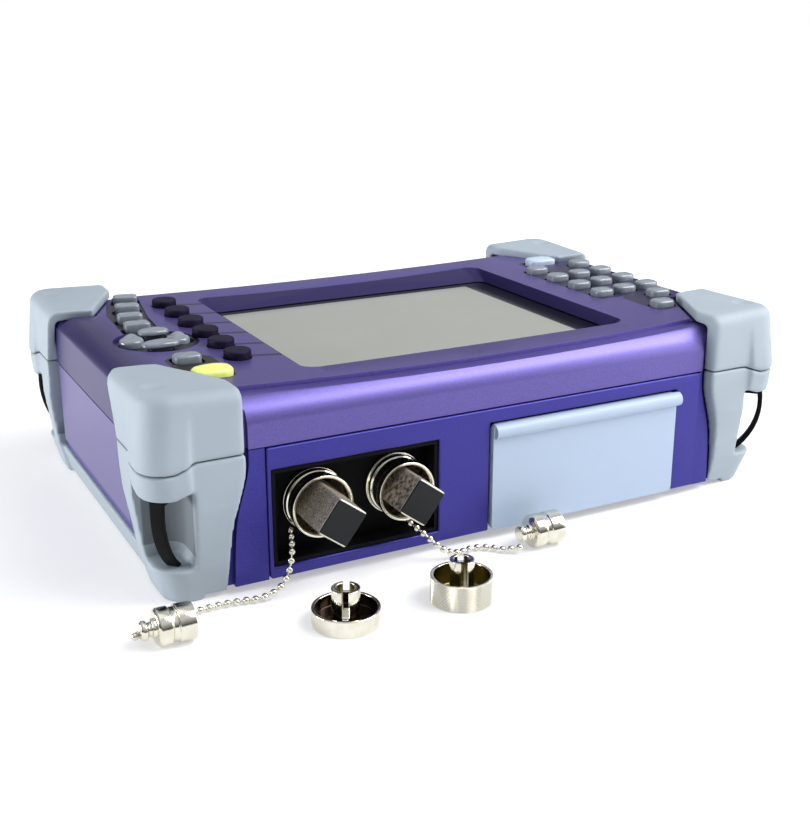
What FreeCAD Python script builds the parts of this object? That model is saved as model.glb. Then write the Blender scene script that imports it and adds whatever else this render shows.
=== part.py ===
import FreeCAD, Part
import math
import os

import Sketcher

# Handheld optical time domain reflectometer: a shallow two-part case with a crowned deck,
# rubbery corner guards, a recessed display, keys on both sides of it, two optical ports and
# a hinged port cover on the near long side, and a battery door on the left end.
# Frame: +X along the long side, -Y is the port side, +Z up, origin on the floor under the
# middle of the case. Millimetres.

doc = FreeCAD.newDocument("reflectometer")
sheet = doc.addObject("Spreadsheet::Sheet", "Dims")

DIMENSIONS = {
    # case
    "case_half_x": 118.5,
    "crown_swell": 2.1,
    "case_half_y": 78.7,
    "floor_gap": 3.0,
    "parting": 48.5,
    "deck": 67.0,
    "deck_sag": 2.5,
    "deck_bow": 3.4,
    "shoulder_width": 8.2,
    "shoulder_base": 51.5,
    "end_shoulder": 8.0,
    "end_drop": 4.6,
    "step": 1.6,
    "wall": 2.5,
    "deck_wall": 3.0,
    "seam": 0.3,
    "rest_half_x": 70.0,
    "rest_half_y": 42.0,
    "rest_corner": 8.0,
    "boss_x": 98.0,
    "boss_y": 65.5,
    "boss_radius": 5.0,
    "boss_top_radius": 3.3,
    "post_x": 92.0,
    "post_y": 52.0,
    "post_radius": 3.0,
    "screw_seat": 38.0,
    "screw_radius": 1.5,
    "screw_head": 2.8,
    "key_room_x": 115.8,
    "key_room_y": 44.0,
    # corner guards and caps
    "guard_x": 125.5,
    "guard_y": 84.0,
    "guard_reach_x": 33.0,
    "guard_reach_y": 34.5,
    "guard_radius": 9.0,
    "guard_gap": 2.0,
    "guard_fit": 0.3,
    "guard_seat": 2.2,
    "guard_wall": 2.6,
    "panel_recess": 1.6,
    "bulge_x": 13.5,
    "bulge_y": 16.0,
    "cap_top": 71.0,
    "cap_dip": 2.4,
    "cap_draft": 2.2,
    "cap_plate": 3.2,
    "cap_edge": 4.2,
    "cap_inner_edge": 2.0,
    "cap_lean": 9.5,
    "dimple_radius": 4.2,
    "dimple_depth": 0.9,
    "collar": 8.6,
    "collar_drop": 2.4,
    "collar_slope": 7.0,
    "foot": 12.5,
    "waist_inset": 4.2,
    "foot_inset": 7.4,
    "narrowing": 6.5,
    "scoop_x": 16.0,
    "scoop_y": 21.0,
    "rail_height": 11.4,
    "rail_seat": 115.4,
    "strap_width": 4.6,
    "strap_thick": 1.8,
    "strap_lean": 8.0,
    "strap_inset": 1.2,
    "strap_out": 4.6,
    "strap_leg": 13.7,
    # display
    "window_left": -62.0,
    "window_right": 70.5,
    "window_near": -57.0,
    "window_far": 56.0,
    "window_radius": 6.0,
    "well_left": -59.4,
    "well_right": 69.6,
    "well_near": -48.6,
    "well_far": 46.6,
    "well_radius": 3.0,
    "glass_level": 60.2,
    "glass_thick": 1.8,
    "glass_overlap": 2.0,
    "screen_x": 2.3,
    "screen_y": -1.2,
    "screen_width": 122.5,
    "screen_depth": 95.0,
    "screen_thick": 5.0,
    # keys
    "key_fit": 0.35,
    "key_rise": 1.6,
    "key_travel": 1.0,
    "key_flange": 0.8,
    "key_flange_thick": 1.0,
    "softkey_radius": 4.7,
    "softkey_column": -77.2,
    "softkey_first": 47.0,
    "softkey_pitch": 16.5,
    "function_length": 10.6,
    "function_width": 6.6,
    "pad_x": -96.2,
    "pad_y": -5.0,
    "pad_step": 8.6,
    "pad_radius": 4.4,
    "digit_length": 9.2,
    "digit_width": 7.2,
    "digit_first_x": 87.4,
    "digit_first_y": 29.0,
    "digit_step_x": 11.3,
    "digit_step_y": 15.9,
    "key_corner": 1.6,
    "recess_depth": 0.9,
    # front fascia, ports
    "fascia_left": -84.9,
    "fascia_right": 89.0,
    "fascia_proud": 0.8,
    "fascia_thick": 3.0,
    "port_left": -83.3,
    "port_right": -23.2,
    "port_low": 7.4,
    "port_high": 40.4,
    "port_depth": 8.0,
    "panel_thick": 2.0,
    "port_one_x": -66.2,
    "port_two_x": -36.2,
    "port_z": 25.2,
    "flange_radius": 10.9,
    "ring_radius_one": 10.7,
    "ring_radius_two": 10.3,
    "ring_wall": 1.3,
    "ring_one": 1.4,
    "ring_two": 2.8,
    "shaft_radius": 9.9,
    "shaft_fit": 0.1,
    "sleeve_radius": 3.2,
    "tray_wall": 1.2,
    "tray_inset": 0.8,
    "plug_long": 13.0,
    "plug_short": 11.4,
    "plug_turn": 53.0,
    "plug_one": 15.0,
    "plug_two": 10.8,
    "plug_corner": 0.9,
    "plug_pin": 1.25,
    "plug_depth": 12.1,
    # port cover
    "cover_left": -2.2,
    "cover_right": 77.6,
    "cover_low": 3.6,
    "cover_high": 42.6,
    "cover_thick": 2.4,
    "cover_proud": 1.8,
    "cover_gap": 0.7,
    "lip_radius": 2.6,
    "lip_inset": 0.6,
    "lip_overhang": 1.2,
    "pin_radius": 1.1,
    "pivot_inset": 3.1,
    "pivot_level": 8.2,
    "ear_room": 1.2,
    # battery door
    "door_half_y": 46.0,
    "door_low": 17.4,
    "door_thick": 1.8,
    # inside
    "pack_length": 46.0,
    "pack_width": 84.0,
    "pack_height": 37.0,
    "optics_length": 92.0,
    "optics_width": 58.0,
    "optics_height": 34.0,
    "optics_y": -21.0,
    "board_length": 208.0,
    "board_width": 112.0,
    "board_thick": 1.6,
    # loose port adapters
    "cup_one_x": -73.1,
    "cup_one_y": -111.0,
    "cup_one_radius": 10.7,
    "cup_one_height": 5.5,
    "cup_two_x": -34.1,
    "cup_two_y": -114.2,
    "cup_two_radius": 10.1,
    "cup_two_height": 8.7,
    "cup_wall": 1.1,
    "cup_floor": 1.4,
    "post_one_radius": 4.5,
    "post_one_top": 11.8,
    "post_two_radius": 4.0,
    "post_two_top": 14.0,
    # chains and their dust caps
    "bead": 2.4,
    "dust_radius": 5.9,
    "dust_length": 11.5,
    "dust_boss": 3.0,
}

row = 1
for alias, number in DIMENSIONS.items():
    sheet.set(f"A{row}", alias)
    sheet.set(f"B{row}", str(number))
    sheet.setAlias(f"B{row}", alias)
    row += 1
doc.recompute()


def size(alias):
    """A driving dimension read back from the sheet."""
    return float(sheet.get(alias))


parts = {}


def keep(node, obj):
    """Name a finished sub-part."""
    obj.Label = node
    parts[node] = obj
    return obj


def bind(obj, **fields):
    """Bind properties to sheet expressions."""
    for field, text in fields.items():
        obj.setExpression(field.replace("__", "."), text)
    return obj


def place(obj, x, y, z):
    """Bind the position of an object's Placement; every coordinate is an expression."""
    for axis, text in zip("xyz", (x, y, z)):
        obj.setExpression("Placement.Base." + axis, str(text))
    return obj


def block(name, lengths, corner):
    """Part::Box with its sizes and corner bound to expressions."""
    obj = doc.addObject("Part::Box", name)
    bind(obj, Length=str(lengths[0]), Width=str(lengths[1]), Height=str(lengths[2]))
    return place(obj, *corner)


def boolean(kind, name, first, others):
    """Part::Cut of one tool group, or a Part::MultiFuse of everything."""
    if kind == "cut":
        tool = others[0]
        if len(others) > 1:
            tool = doc.addObject("Part::MultiFuse", name + "_tools")
            tool.Shapes = others
        obj = doc.addObject("Part::Cut", name)
        obj.Base = first
        obj.Tool = tool
        return obj
    obj = doc.addObject("Part::MultiFuse", name)
    obj.Shapes = [first] + list(others)
    return obj


def solid(node, shape):
    """Part::Feature for a form that neither the primitives nor a body makes."""
    obj = doc.addObject("Part::Feature", node + "_form")
    if shape.ShapeType != "Solid" and len(shape.Solids) == 1:
        shape = shape.Solids[0]
    obj.Shape = shape
    return keep(node, obj)


def plane_of(body, role):
    for feature in body.Origin.OriginFeatures:
        if feature.Role == role:
            return feature
    raise ValueError(role)


def outline(body, name, role, corners, offset="0"):
    """Closed polygon sketch on an origin plane, each corner bound to two expressions."""
    sketch = body.newObject("Sketcher::SketchObject", name)
    sketch.AttachmentSupport = [(plane_of(body, role), "")]
    sketch.MapMode = "FlatFace"
    sketch.setExpression("AttachmentOffset.Base.z", offset)
    count = len(corners)
    points = []
    for column, line in corners:
        points.append(FreeCAD.Vector(evaluate(column), evaluate(line), 0))
    for index in range(count):
        sketch.addGeometry(Part.LineSegment(points[index], points[(index + 1) % count]), False)
    for index in range(count):
        sketch.addConstraint(Sketcher.Constraint("Coincident", index, 2, (index + 1) % count, 1))
    for index, (column, line) in enumerate(corners):
        for kind, text in (("DistanceX", column), ("DistanceY", line)):
            value = evaluate(text)
            number = sketch.addConstraint(Sketcher.Constraint(kind, -1, 1, index, 1, value))
            sketch.setExpression(f"Constraints[{number}]", str(text))
    return sketch


def disc(body, name, role, radius, offset="0", centre=("0", "0")):
    """Circle sketch on an origin plane with a bound radius and centre."""
    sketch = body.newObject("Sketcher::SketchObject", name)
    sketch.AttachmentSupport = [(plane_of(body, role), "")]
    sketch.MapMode = "FlatFace"
    sketch.setExpression("AttachmentOffset.Base.z", offset)
    middle = FreeCAD.Vector(evaluate(centre[0]), evaluate(centre[1]), 0)
    sketch.addGeometry(Part.Circle(middle, FreeCAD.Vector(0, 0, 1), evaluate(radius)), False)
    number = sketch.addConstraint(Sketcher.Constraint("Radius", 0, evaluate(radius)))
    sketch.setExpression(f"Constraints[{number}]", str(radius))
    if centre == ("0", "0"):
        sketch.addConstraint(Sketcher.Constraint("Coincident", 0, 3, -1, 1))
    else:
        for kind, text in (("DistanceX", centre[0]), ("DistanceY", centre[1])):
            number = sketch.addConstraint(Sketcher.Constraint(kind, -1, 1, 0, 3, evaluate(text)))
            sketch.setExpression(f"Constraints[{number}]", str(text))
    return sketch


def evaluate(text):
    """Value of a sheet expression, for the first position of a sketch point."""
    return float(sheet.evalExpression(str(text).replace("Dims.", "")))


def pad(body, sketch, length, both=False):
    feature = body.newObject("PartDesign::Pad", sketch.Name + "_pad")
    feature.Profile = sketch
    if both:
        feature.Midplane = True
    feature.setExpression("Length", str(length))
    doc.recompute()
    return feature


def revolve(body, sketch, axis="V_Axis"):
    feature = body.newObject("PartDesign::Revolution", sketch.Name + "_turn")
    feature.Profile = sketch
    feature.ReferenceAxis = (sketch, [axis])
    feature.Angle = 360
    doc.recompute()
    return feature


def pocket(body, sketch, length):
    """Pocket that is turned round if it leaves the volume as it was."""
    before = body.Shape.Volume
    feature = body.newObject("PartDesign::Pocket", sketch.Name + "_cut")
    feature.Profile = sketch
    feature.setExpression("Length", str(length))
    doc.recompute()
    if feature.Shape.isNull() or abs(feature.Shape.Volume - before) < 1e-6:
        feature.Reversed = True
        doc.recompute()
    if abs(feature.Shape.Volume - before) < 1e-6:
        raise ValueError(sketch.Name + " cuts nothing")
    return feature


def round_edges(body, base, chooser, radius, kind="PartDesign::Fillet"):
    """Fillet or chamfer on the edges that the chooser accepts."""
    names = []
    for index, edge in enumerate(base.Shape.Edges):
        if chooser(edge):
            names.append(f"Edge{index + 1}")
    feature = body.newObject(kind, base.Name + "_soft")
    feature.Base = (base, names)
    field = "Radius" if kind.endswith("Fillet") else "Size"
    feature.setExpression(field, str(radius))
    doc.recompute()
    return feature


def upright(edge):
    low = edge.BoundBox
    return low.XLength < 1e-6 and low.YLength < 1e-6 and low.ZLength > 1e-6


def at_height(level):
    """Chooser for the edges that lie flat at one height."""
    def test(edge):
        return abs(edge.BoundBox.ZMin - level) < 1e-6 and abs(edge.BoundBox.ZMax - level) < 1e-6
    return test


vec = FreeCAD.Vector
# longer than anything here, for the tools that cut right through
beyond = 300.0


def prism(points, low, high):
    """Upright prism over a plan polygon."""
    wire = Part.makePolygon([vec(x, y, low) for x, y in points] + [vec(*points[0], low)])
    return Part.Face(wire).extrude(vec(0, 0, high - low))


def rounded_plan(x0, y0, x1, y1, radius, level):
    """Wire of a rectangle with one rounded corner, at (x1, y1)."""
    sx = math.copysign(1, x1 - x0)
    sy = math.copysign(1, y1 - y0)
    diagonal = radius * (1 - math.sqrt(0.5))
    a = vec(x0, y0, level)
    b = vec(x1, y0, level)
    c = vec(x1, y1 - sy * radius, level)
    d = vec(x1 - sx * radius, y1, level)
    e = vec(x0, y1, level)
    middle = vec(x1 - sx * diagonal, y1 - sy * diagonal, level)
    edges = [
        Part.LineSegment(a, b).toShape(),
        Part.LineSegment(b, c).toShape(),
        Part.Arc(c, middle, d).toShape(),
        Part.LineSegment(d, e).toShape(),
        Part.LineSegment(e, a).toShape(),
    ]
    return Part.Wire(edges)


def mirrored(shape, sign_x, sign_y):
    """The plus-plus quadrant's shape moved to another corner."""
    result = shape
    if sign_x < 0:
        result = result.mirror(vec(0, 0, 0), vec(1, 0, 0))
    if sign_y < 0:
        result = result.mirror(vec(0, 0, 0), vec(0, 1, 0))
    return result


CORNERS = {"near_left": (-1, -1), "near_right": (1, -1), "far_left": (-1, 1), "far_right": (1, 1)}

# ---------------------------------------------------------------- derived places
hx = size("case_half_x")
hy = size("case_half_y")
crown_x = hx + size("crown_swell")
gx = size("guard_x")
gy = size("guard_y")
fit = size("guard_fit")
seam = size("seam")
parting = size("parting")
deck = size("deck")
low = size("floor_gap")
edge_x = gx - size("guard_reach_x")
edge_y = gy - size("guard_reach_y")
seat = size("guard_seat")
notch_x = gx - size("scoop_x") - size("guard_wall") - fit
notch_y = gy - size("scoop_y") - size("guard_wall") - fit
plate_under = size("cap_top") - size("cap_dip") - size("cap_plate")


def case_plan(half_x):
    """Plan outline of the case: each corner is stepped back under its guard."""
    quarter = [
        (edge_x - size("guard_gap"), hy),
        (edge_x - size("guard_gap"), hy - seat),
        (notch_x, hy - seat),
        (notch_x, notch_y),
        (hx - seat, notch_y),
        (hx - seat, edge_y - size("guard_gap")),
        (half_x, edge_y - size("guard_gap")),
    ]
    points = list(quarter)
    points += [(x, -y) for x, y in reversed(quarter)]
    points += [(-x, -y) for x, y in quarter]
    points += [(-x, y) for x, y in reversed(quarter)]
    return points


def case_inside():
    """Plan outline of the hollow: the case outline moved in by the wall."""
    wall = size("wall")
    quarter = [
        (notch_x - wall, hy - seat - wall),
        (notch_x - wall, notch_y - wall),
        (hx - seat - wall, notch_y - wall),
    ]
    points = list(quarter)
    points += [(x, -y) for x, y in reversed(quarter)]
    points += [(-x, -y) for x, y in quarter]
    points += [(-x, y) for x, y in reversed(quarter)]
    return points


def deck_level(x):
    """Height of the deck: a shallow dish along the length."""
    reach = crown_x - size("end_shoulder")
    share = min(1.0, abs(x) / reach)
    return deck - size("deck_sag") * (1 - share * share)


def dished(level):
    """Everything below the dished deck at a given height at its ends."""
    wide = crown_x
    reach = wide - size("end_shoulder")
    sag = size("deck_sag")
    foot = level - size("end_drop")
    lift = foot + size("end_drop") * math.sin(math.pi / 4)
    out = reach + size("end_shoulder") * math.cos(math.pi / 4)
    y = -2 * hy
    edges = [
        Part.Arc(vec(-reach, y, level), vec(0, y, level - sag), vec(reach, y, level)).toShape(),
        Part.Arc(vec(reach, y, level), vec(out, y, lift), vec(wide, y, foot)).toShape(),
        Part.LineSegment(vec(wide, y, foot), vec(wide, y, low)).toShape(),
        Part.LineSegment(vec(wide, y, low), vec(-wide, y, low)).toShape(),
        Part.LineSegment(vec(-wide, y, low), vec(-wide, y, foot)).toShape(),
        Part.Arc(vec(-wide, y, foot), vec(-out, y, lift), vec(-reach, y, level)).toShape(),
    ]
    return Part.Face(Part.Wire(edges)).extrude(vec(0, 4 * hy, 0))


def shouldered():
    """Long prism whose two upper edges are the big rounded shoulders."""
    top_y = hy - size("shoulder_width")
    top_z = deck - size("step")
    base = size("shoulder_base")
    lift = base + (top_z - base) * math.sin(math.pi / 4)
    out = top_y + size("shoulder_width") * math.cos(math.pi / 4)
    x = -crown_x
    edges = [
        Part.LineSegment(vec(x, -hy, low), vec(x, -hy, base)).toShape(),
        Part.Arc(vec(x, -hy, base), vec(x, -out, lift), vec(x, -top_y, top_z)).toShape(),
        Part.LineSegment(vec(x, -top_y, top_z), vec(x, top_y, top_z)).toShape(),
        Part.Arc(vec(x, top_y, top_z), vec(x, out, lift), vec(x, hy, base)).toShape(),
        Part.LineSegment(vec(x, hy, base), vec(x, hy, low)).toShape(),
        Part.LineSegment(vec(x, hy, low), vec(x, -hy, low)).toShape(),
    ]
    return Part.Face(Part.Wire(edges)).extrude(vec(-2 * x, 0, 0))


def plateau():
    """Raised deck field; its long edges bow outwards in the middle."""
    reach = crown_x
    side = hy - size("shoulder_width") - size("step") / 2
    bow = size("deck_bow")
    level = deck - 8
    corners = [vec(-reach, -side + bow, level), vec(reach, -side + bow, level),
               vec(reach, side - bow, level), vec(-reach, side - bow, level)]
    edges = [
        Part.Arc(corners[0], vec(0, -side, level), corners[1]).toShape(),
        Part.LineSegment(corners[1], corners[2]).toShape(),
        Part.Arc(corners[2], vec(0, side, level), corners[3]).toShape(),
        Part.LineSegment(corners[3], corners[0]).toShape(),
    ]
    return Part.Face(Part.Wire(edges)).extrude(vec(0, 0, 20))


def cap_plan(grow=0.0):
    """Plan of a corner cap, plus-plus corner: its inner side runs diagonally over the deck."""
    reach = gx + 10
    near_x = edge_x - grow
    near_y = edge_y - grow
    return [
        (near_x, gy + 10),
        (near_x, gy - 13 - grow),
        (near_x + 8.3, gy - 30 - grow),
        (near_x + 15.0, near_y - size("cap_lean")),
        (reach, near_y - size("cap_lean")),
        (reach, gy + 10),
    ]


def guard_envelope():
    """Outer form of one corner, from the floor to the cap's top, plus-plus corner."""
    x0 = edge_x - 22
    y0 = edge_y - 22
    waist = size("waist_inset")
    foot_in = size("foot_inset")
    radius = size("guard_radius")
    draft = size("cap_draft")
    levels = [
        (0.0, foot_in, radius),
        (size("foot"), waist, radius),
        (parting - size("collar"), 0.6, radius),
        (parting, 0.0, radius),
    ]
    wires = [rounded_plan(x0, y0, gx - d, gy - d, r, z) for z, d, r in levels]
    lower = Part.makeLoft(wires, True, True)
    top = size("cap_top") + 0.4
    wires = [rounded_plan(x0, y0, gx, gy, radius, parting),
             rounded_plan(x0, y0, gx - draft, gy - draft, radius, top)]
    upper = Part.makeLoft(wires, True, True)
    return lower, upper


def side_panels():
    """Shallow recesses in the two outer faces, away from the corner bulge."""
    depth = size("panel_recess")
    bulge_x = size("bulge_x")
    bulge_y = size("bulge_y")
    top = size("cap_top") - 5.5
    slope = 2.0
    front = Part.makePolygon([
        vec(edge_x - 24, gy - depth, -1), vec(gx - bulge_x - slope, gy - depth, -1),
        vec(gx - bulge_x, gy + 1, -1), vec(edge_x - 24, gy + 1, -1), vec(edge_x - 24, gy - depth, -1)])
    front = Part.Face(front).extrude(vec(0, 0, top + 1))
    side = Part.makePolygon([
        vec(gx - depth, edge_y - 24, -1), vec(gx - depth, gy - bulge_y - slope, -1),
        vec(gx + 1, gy - bulge_y, -1), vec(gx + 1, edge_y - 24, -1), vec(gx - depth, edge_y - 24, -1)])
    side = Part.Face(side).extrude(vec(0, 0, top + 1))
    return front, side


def drop_block(gap):
    """The corner bulge's share of the cap: it reaches lower than the rest of the seam."""
    drop = size("collar_drop")
    slope = size("collar_slope")
    x0 = gx - size("bulge_x") + slope / 2
    y0 = gy - size("bulge_y") + slope / 2
    x1 = gx + 5
    y1 = gy + 5
    wires = []
    for inset, level in ((0.0, parting - drop + gap), (slope, parting + gap)):
        ring = [vec(x0 - inset, y0 - inset, level), vec(x1, y0 - inset, level),
                vec(x1, y1, level), vec(x0 - inset, y1, level), vec(x0 - inset, y0 - inset, level)]
        wires.append(Part.makePolygon(ring))
    return Part.makeLoft(wires, True, True)


def case_core(half_x, grow):
    """Case outline grown by a clearance, as the tool that hollows guards and caps."""
    points = case_plan(half_x)
    wire = Part.makePolygon([vec(x, y, -5) for x, y in points] + [vec(*points[0], -5)])
    grown = wire.makeOffset2D(grow, 2)
    return Part.Face(grown)


def edge_curve(start, shift):
    """Inner edge of a guard in side view: an S from the collar back towards the foot."""
    back = size("narrowing")
    points = [(0.97, -1.0), (0.93, 8.0), (0.84, 18.0), (0.66, 27.0), (0.36, 34.0), (0.1, 40.0), (0.0, parting - 2)]
    return [(start + shift + back * share, z) for share, z in points]


def edge_tool(along_x, shift, outside, near, far):
    """Block on one side of a guard's inner edge, between two distances from the middle."""
    start = edge_x if along_x else edge_y
    curve = edge_curve(start, shift)
    ring = []
    for u, z in curve:
        ring.append(vec(u, near, z) if along_x else vec(near, u, z))
    spline = Part.BSplineCurve()
    spline.interpolate(ring)
    top = size("cap_top") + 5
    limit = start + 60 if outside else start - 25
    corners = [(start + shift, top), (limit, top), (limit, -1.0)]
    line = [ring[-1]]
    for u, z in corners:
        line.append(vec(u, near, z) if along_x else vec(near, u, z))
    line.append(ring[0])
    edges = [spline.toShape()]
    for a, b in zip(line, line[1:]):
        edges.append(Part.LineSegment(a, b).toShape())
    run = vec(0, far - near, 0) if along_x else vec(far - near, 0, 0)
    return Part.Face(Part.Wire(edges)).extrude(run)


def narrowed_edges():
    """What the S-shaped inner edges take away from a guard, plus-plus corner."""
    return [edge_tool(True, 0.0, False, -5, gy + 5), edge_tool(False, 0.0, False, -5, gx + 5)]


def lean_tool():
    """The cap's end edge leans towards the middle of the case as it rises."""
    top = size("cap_top") + 5
    lean = size("cap_lean") * (top - parting) / (size("cap_top") - parting)
    ring = [vec(0, edge_y + 0.01, parting - 3), vec(0, edge_y, parting), vec(0, edge_y - lean, top),
            vec(0, -5, top), vec(0, -5, parting - 3), vec(0, edge_y + 0.01, parting - 3)]
    return Part.Face(Part.makePolygon(ring)).extrude(vec(gx + 20, 0, 0))


def lid_level(x, y):
    """Height of a cap's sloping top, falling from the outer corner towards the deck."""
    dip = size("cap_dip")
    fall_x = dip * 0.5 * (gx - x) / size("guard_reach_x")
    fall_y = dip * 0.5 * (gy - y) / (size("guard_reach_y") + size("cap_lean"))
    return size("cap_top") - fall_x - fall_y


def lid_tool():
    """Everything above a cap's sloping top."""
    x0 = edge_x - 30
    y0 = edge_y - 30
    x1 = gx + 5
    y1 = gy + 5
    ring = [vec(x0, y0, lid_level(x0, y0)), vec(x1, y0, lid_level(x1, y0)),
            vec(x1, y1, lid_level(x1, y1)), vec(x0, y1, lid_level(x0, y1)),
            vec(x0, y0, lid_level(x0, y0))]
    return Part.Face(Part.makePolygon(ring)).extrude(vec(0, 0, 20))


def soften(shape, edges, radius):
    """Round the given edges one after the other; an edge that will not take it stays sharp."""
    places = []
    for edge in edges:
        places.append(edge.valueAt((edge.FirstParameter + edge.LastParameter) / 2))
    for spot in places:
        chosen = [e for e in shape.Edges if e.distToShape(Part.Vertex(spot))[0] < 0.3]
        if not chosen:
            continue
        try:
            rounded = shape.makeFillet(radius, chosen[:1])
        except Part.OCCError:
            continue
        if rounded.isValid() and 0.9 * shape.Volume < rounded.Volume < shape.Volume:
            shape = rounded
    return shape


def build_guards():
    """Caps above the parting, scooped guards below it, and the rails that join them."""
    lower, upper = guard_envelope()
    front, side = side_panels()
    core_high = case_core(crown_x, fit).extrude(vec(0, 0, plate_under + 5))
    core_low = case_core(hx, fit).extrude(vec(0, 0, parting + 10))

    # cap: the outer rim is rounded before anything is taken out of it
    upper = upper.cut(lid_tool())
    rim = []
    for edge in upper.Edges:
        box = edge.BoundBox
        outer = box.XMin > gx - 14 or box.YMin > gy - 14
        if box.ZMin > size("cap_top") - 6 and outer and box.DiagonalLength > 2:
            rim.append(edge)
    upper = upper.makeFillet(size("cap_edge"), rim)
    above = Part.makeBox(beyond, beyond, beyond, vec(0, 0, parting + seam / 2))
    cap_zone = above.fuse(drop_block(seam / 2))
    cap = upper.fuse(lower).common(cap_zone)
    cap = cap.cut(front).cut(side)
    cap = cap.common(prism(cap_plan(), 0, beyond)).cut(lean_tool())
    cap = cap.cut(core_high)
    brim = []
    for edge in cap.Edges:
        box = edge.BoundBox
        straight = edge.Curve.TypeId == "Part::GeomLine"
        inner = box.XMin < gx - 16 and box.YMin < gy - 3 and box.XMax < gx - 6
        if straight and inner and box.ZMin > plate_under + 1.5 and box.DiagonalLength > 5:
            brim.append(edge)
    cap = soften(cap, brim, size("cap_inner_edge"))
    sphere_r = (size("dimple_radius") ** 2 + size("dimple_depth") ** 2) / (2 * size("dimple_depth"))
    dimple_top = lid_level(dimple[0], dimple[1])
    centre = vec(dimple[0], dimple[1], dimple_top + sphere_r - size("dimple_depth"))
    cap = cap.cut(Part.makeSphere(sphere_r, centre))

    # guard
    guard = lower.cut(drop_block(-seam / 2)).cut(front).cut(side)
    ceiling = Part.makeBox(beyond, beyond, beyond, vec(0, 0, parting - seam / 2))
    guard = guard.cut(ceiling)
    for piece in narrowed_edges():
        guard = guard.cut(piece)
    guard = guard.cut(core_low)
    collar = parting - size("collar")
    drop = size("collar_drop")
    sx = gx - size("scoop_x")
    sy = gy - size("scoop_y")
    wire = rounded_plan(gx + 10, gy + 10, sx, sy, 6.0, size("foot"))
    scoop = Part.Face(wire).extrude(vec(0, 0, collar - size("foot")))
    hanging = drop_block(0.0).translated(vec(0, 0, -size("collar")))
    guard = guard.cut(scoop.cut(hanging))

    for name, (sign_x, sign_y) in CORNERS.items():
        solid("corner_cap_" + name, mirrored(cap, sign_x, sign_y))
        guards[name] = mirrored(guard, sign_x, sign_y)


guards = {}
dimple = (gx - 9.2, gy - 15.5)
build_guards()


def rail():
    """Bottom rail between the two guards of one end, on the plus-X side."""
    reach = edge_y + size("narrowing") + 1
    top = size("rail_height")
    outer_low = gx - size("foot_inset") - size("panel_recess")
    outer_top = gx - size("waist_inset") - size("panel_recess")
    seat_x = size("rail_seat") + fit
    inner = seat_x - 2.0
    ring = [vec(inner, -reach, 0), vec(outer_low, -reach, 0), vec(outer_top, -reach, top),
            vec(seat_x, -reach, top), vec(seat_x, -reach, low - fit), vec(inner, -reach, low - fit),
            vec(inner, -reach, 0)]
    return Part.Face(Part.makePolygon(ring)).extrude(vec(0, 2 * reach, 0))


for end, sign in (("left", -1), ("right", 1)):
    bar = mirrored(rail(), sign, 1)
    whole = bar.fuse([guards["near_" + end], guards["far_" + end]]).removeSplitter()
    solid("end_guard_" + end, whole)


def strap_bars():
    """Hand-strap anchor in each corner scoop: a leg under the collar, then a bar bowed in to the foot."""
    width = size("strap_width")
    thick = size("strap_thick")
    out = size("strap_out")
    lean = size("strap_lean")
    top = parting - size("collar") - size("collar_drop")
    foot = size("foot")
    # profile in the diagonal plane: distance in from the corner against height
    shoulder = vec(out, 0, top - thick)
    bow = vec(out + 0.6, 0, foot + (top - foot) * 0.5)
    toe = vec(out + lean, 0, foot)
    inward = vec(thick, 0, 0)
    leg_end = vec(out + size("strap_leg"), 0, top)
    edges = [
        Part.LineSegment(leg_end, vec(out, 0, top)).toShape(),
        Part.LineSegment(vec(out, 0, top), shoulder).toShape(),
        Part.Arc(shoulder, bow, toe).toShape(),
        Part.LineSegment(toe, toe + inward * 1.4).toShape(),
        Part.Arc(toe + inward * 1.4, bow + inward, shoulder + inward).toShape(),
        Part.LineSegment(shoulder + inward, leg_end - vec(0, 0, thick)).toShape(),
        Part.LineSegment(leg_end - vec(0, 0, thick), leg_end).toShape(),
    ]
    face = Part.Face(Part.Wire(edges))
    bar = face.extrude(vec(0, width, 0)).translated(vec(0, -width / 2, 0))
    bar.rotate(vec(0, 0, 0), vec(0, 0, 1), 225)
    bar.translate(vec(gx - size("strap_inset"), gy - size("strap_inset"), 0))
    return [mirrored(bar, sx, sy) for sx, sy in CORNERS.values()]


solid("strap_bars", Part.makeCompound(strap_bars()))


# ---------------------------------------------------------------- case halves
def corner_places():
    """The four corners as sign pairs."""
    return list(CORNERS.values())


def seats(half_x):
    """What the case gives up to its corner guards: deep notches and shallow side seats."""
    gap = size("guard_gap")
    tools = []
    notch = Part.makeBox(beyond, beyond, beyond, vec(notch_x, notch_y, -1))
    front = edge_tool(True, -gap, True, hy - seat, hy + 5)
    side = edge_tool(False, -gap, True, hx - seat, half_x + 5)
    for sign_x, sign_y in corner_places():
        for tool in (notch, front, side):
            tools.append(mirrored(tool, sign_x, sign_y))
    return tools


def box_between(x0, x1, y0, y1, z0, z1):
    return Part.makeBox(x1 - x0, y1 - y0, z1 - z0, vec(x0, y0, z0))


def tube_up(x, y, radius, z0, z1):
    return Part.makeCylinder(radius, z1 - z0, vec(x, y, z0))


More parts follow.
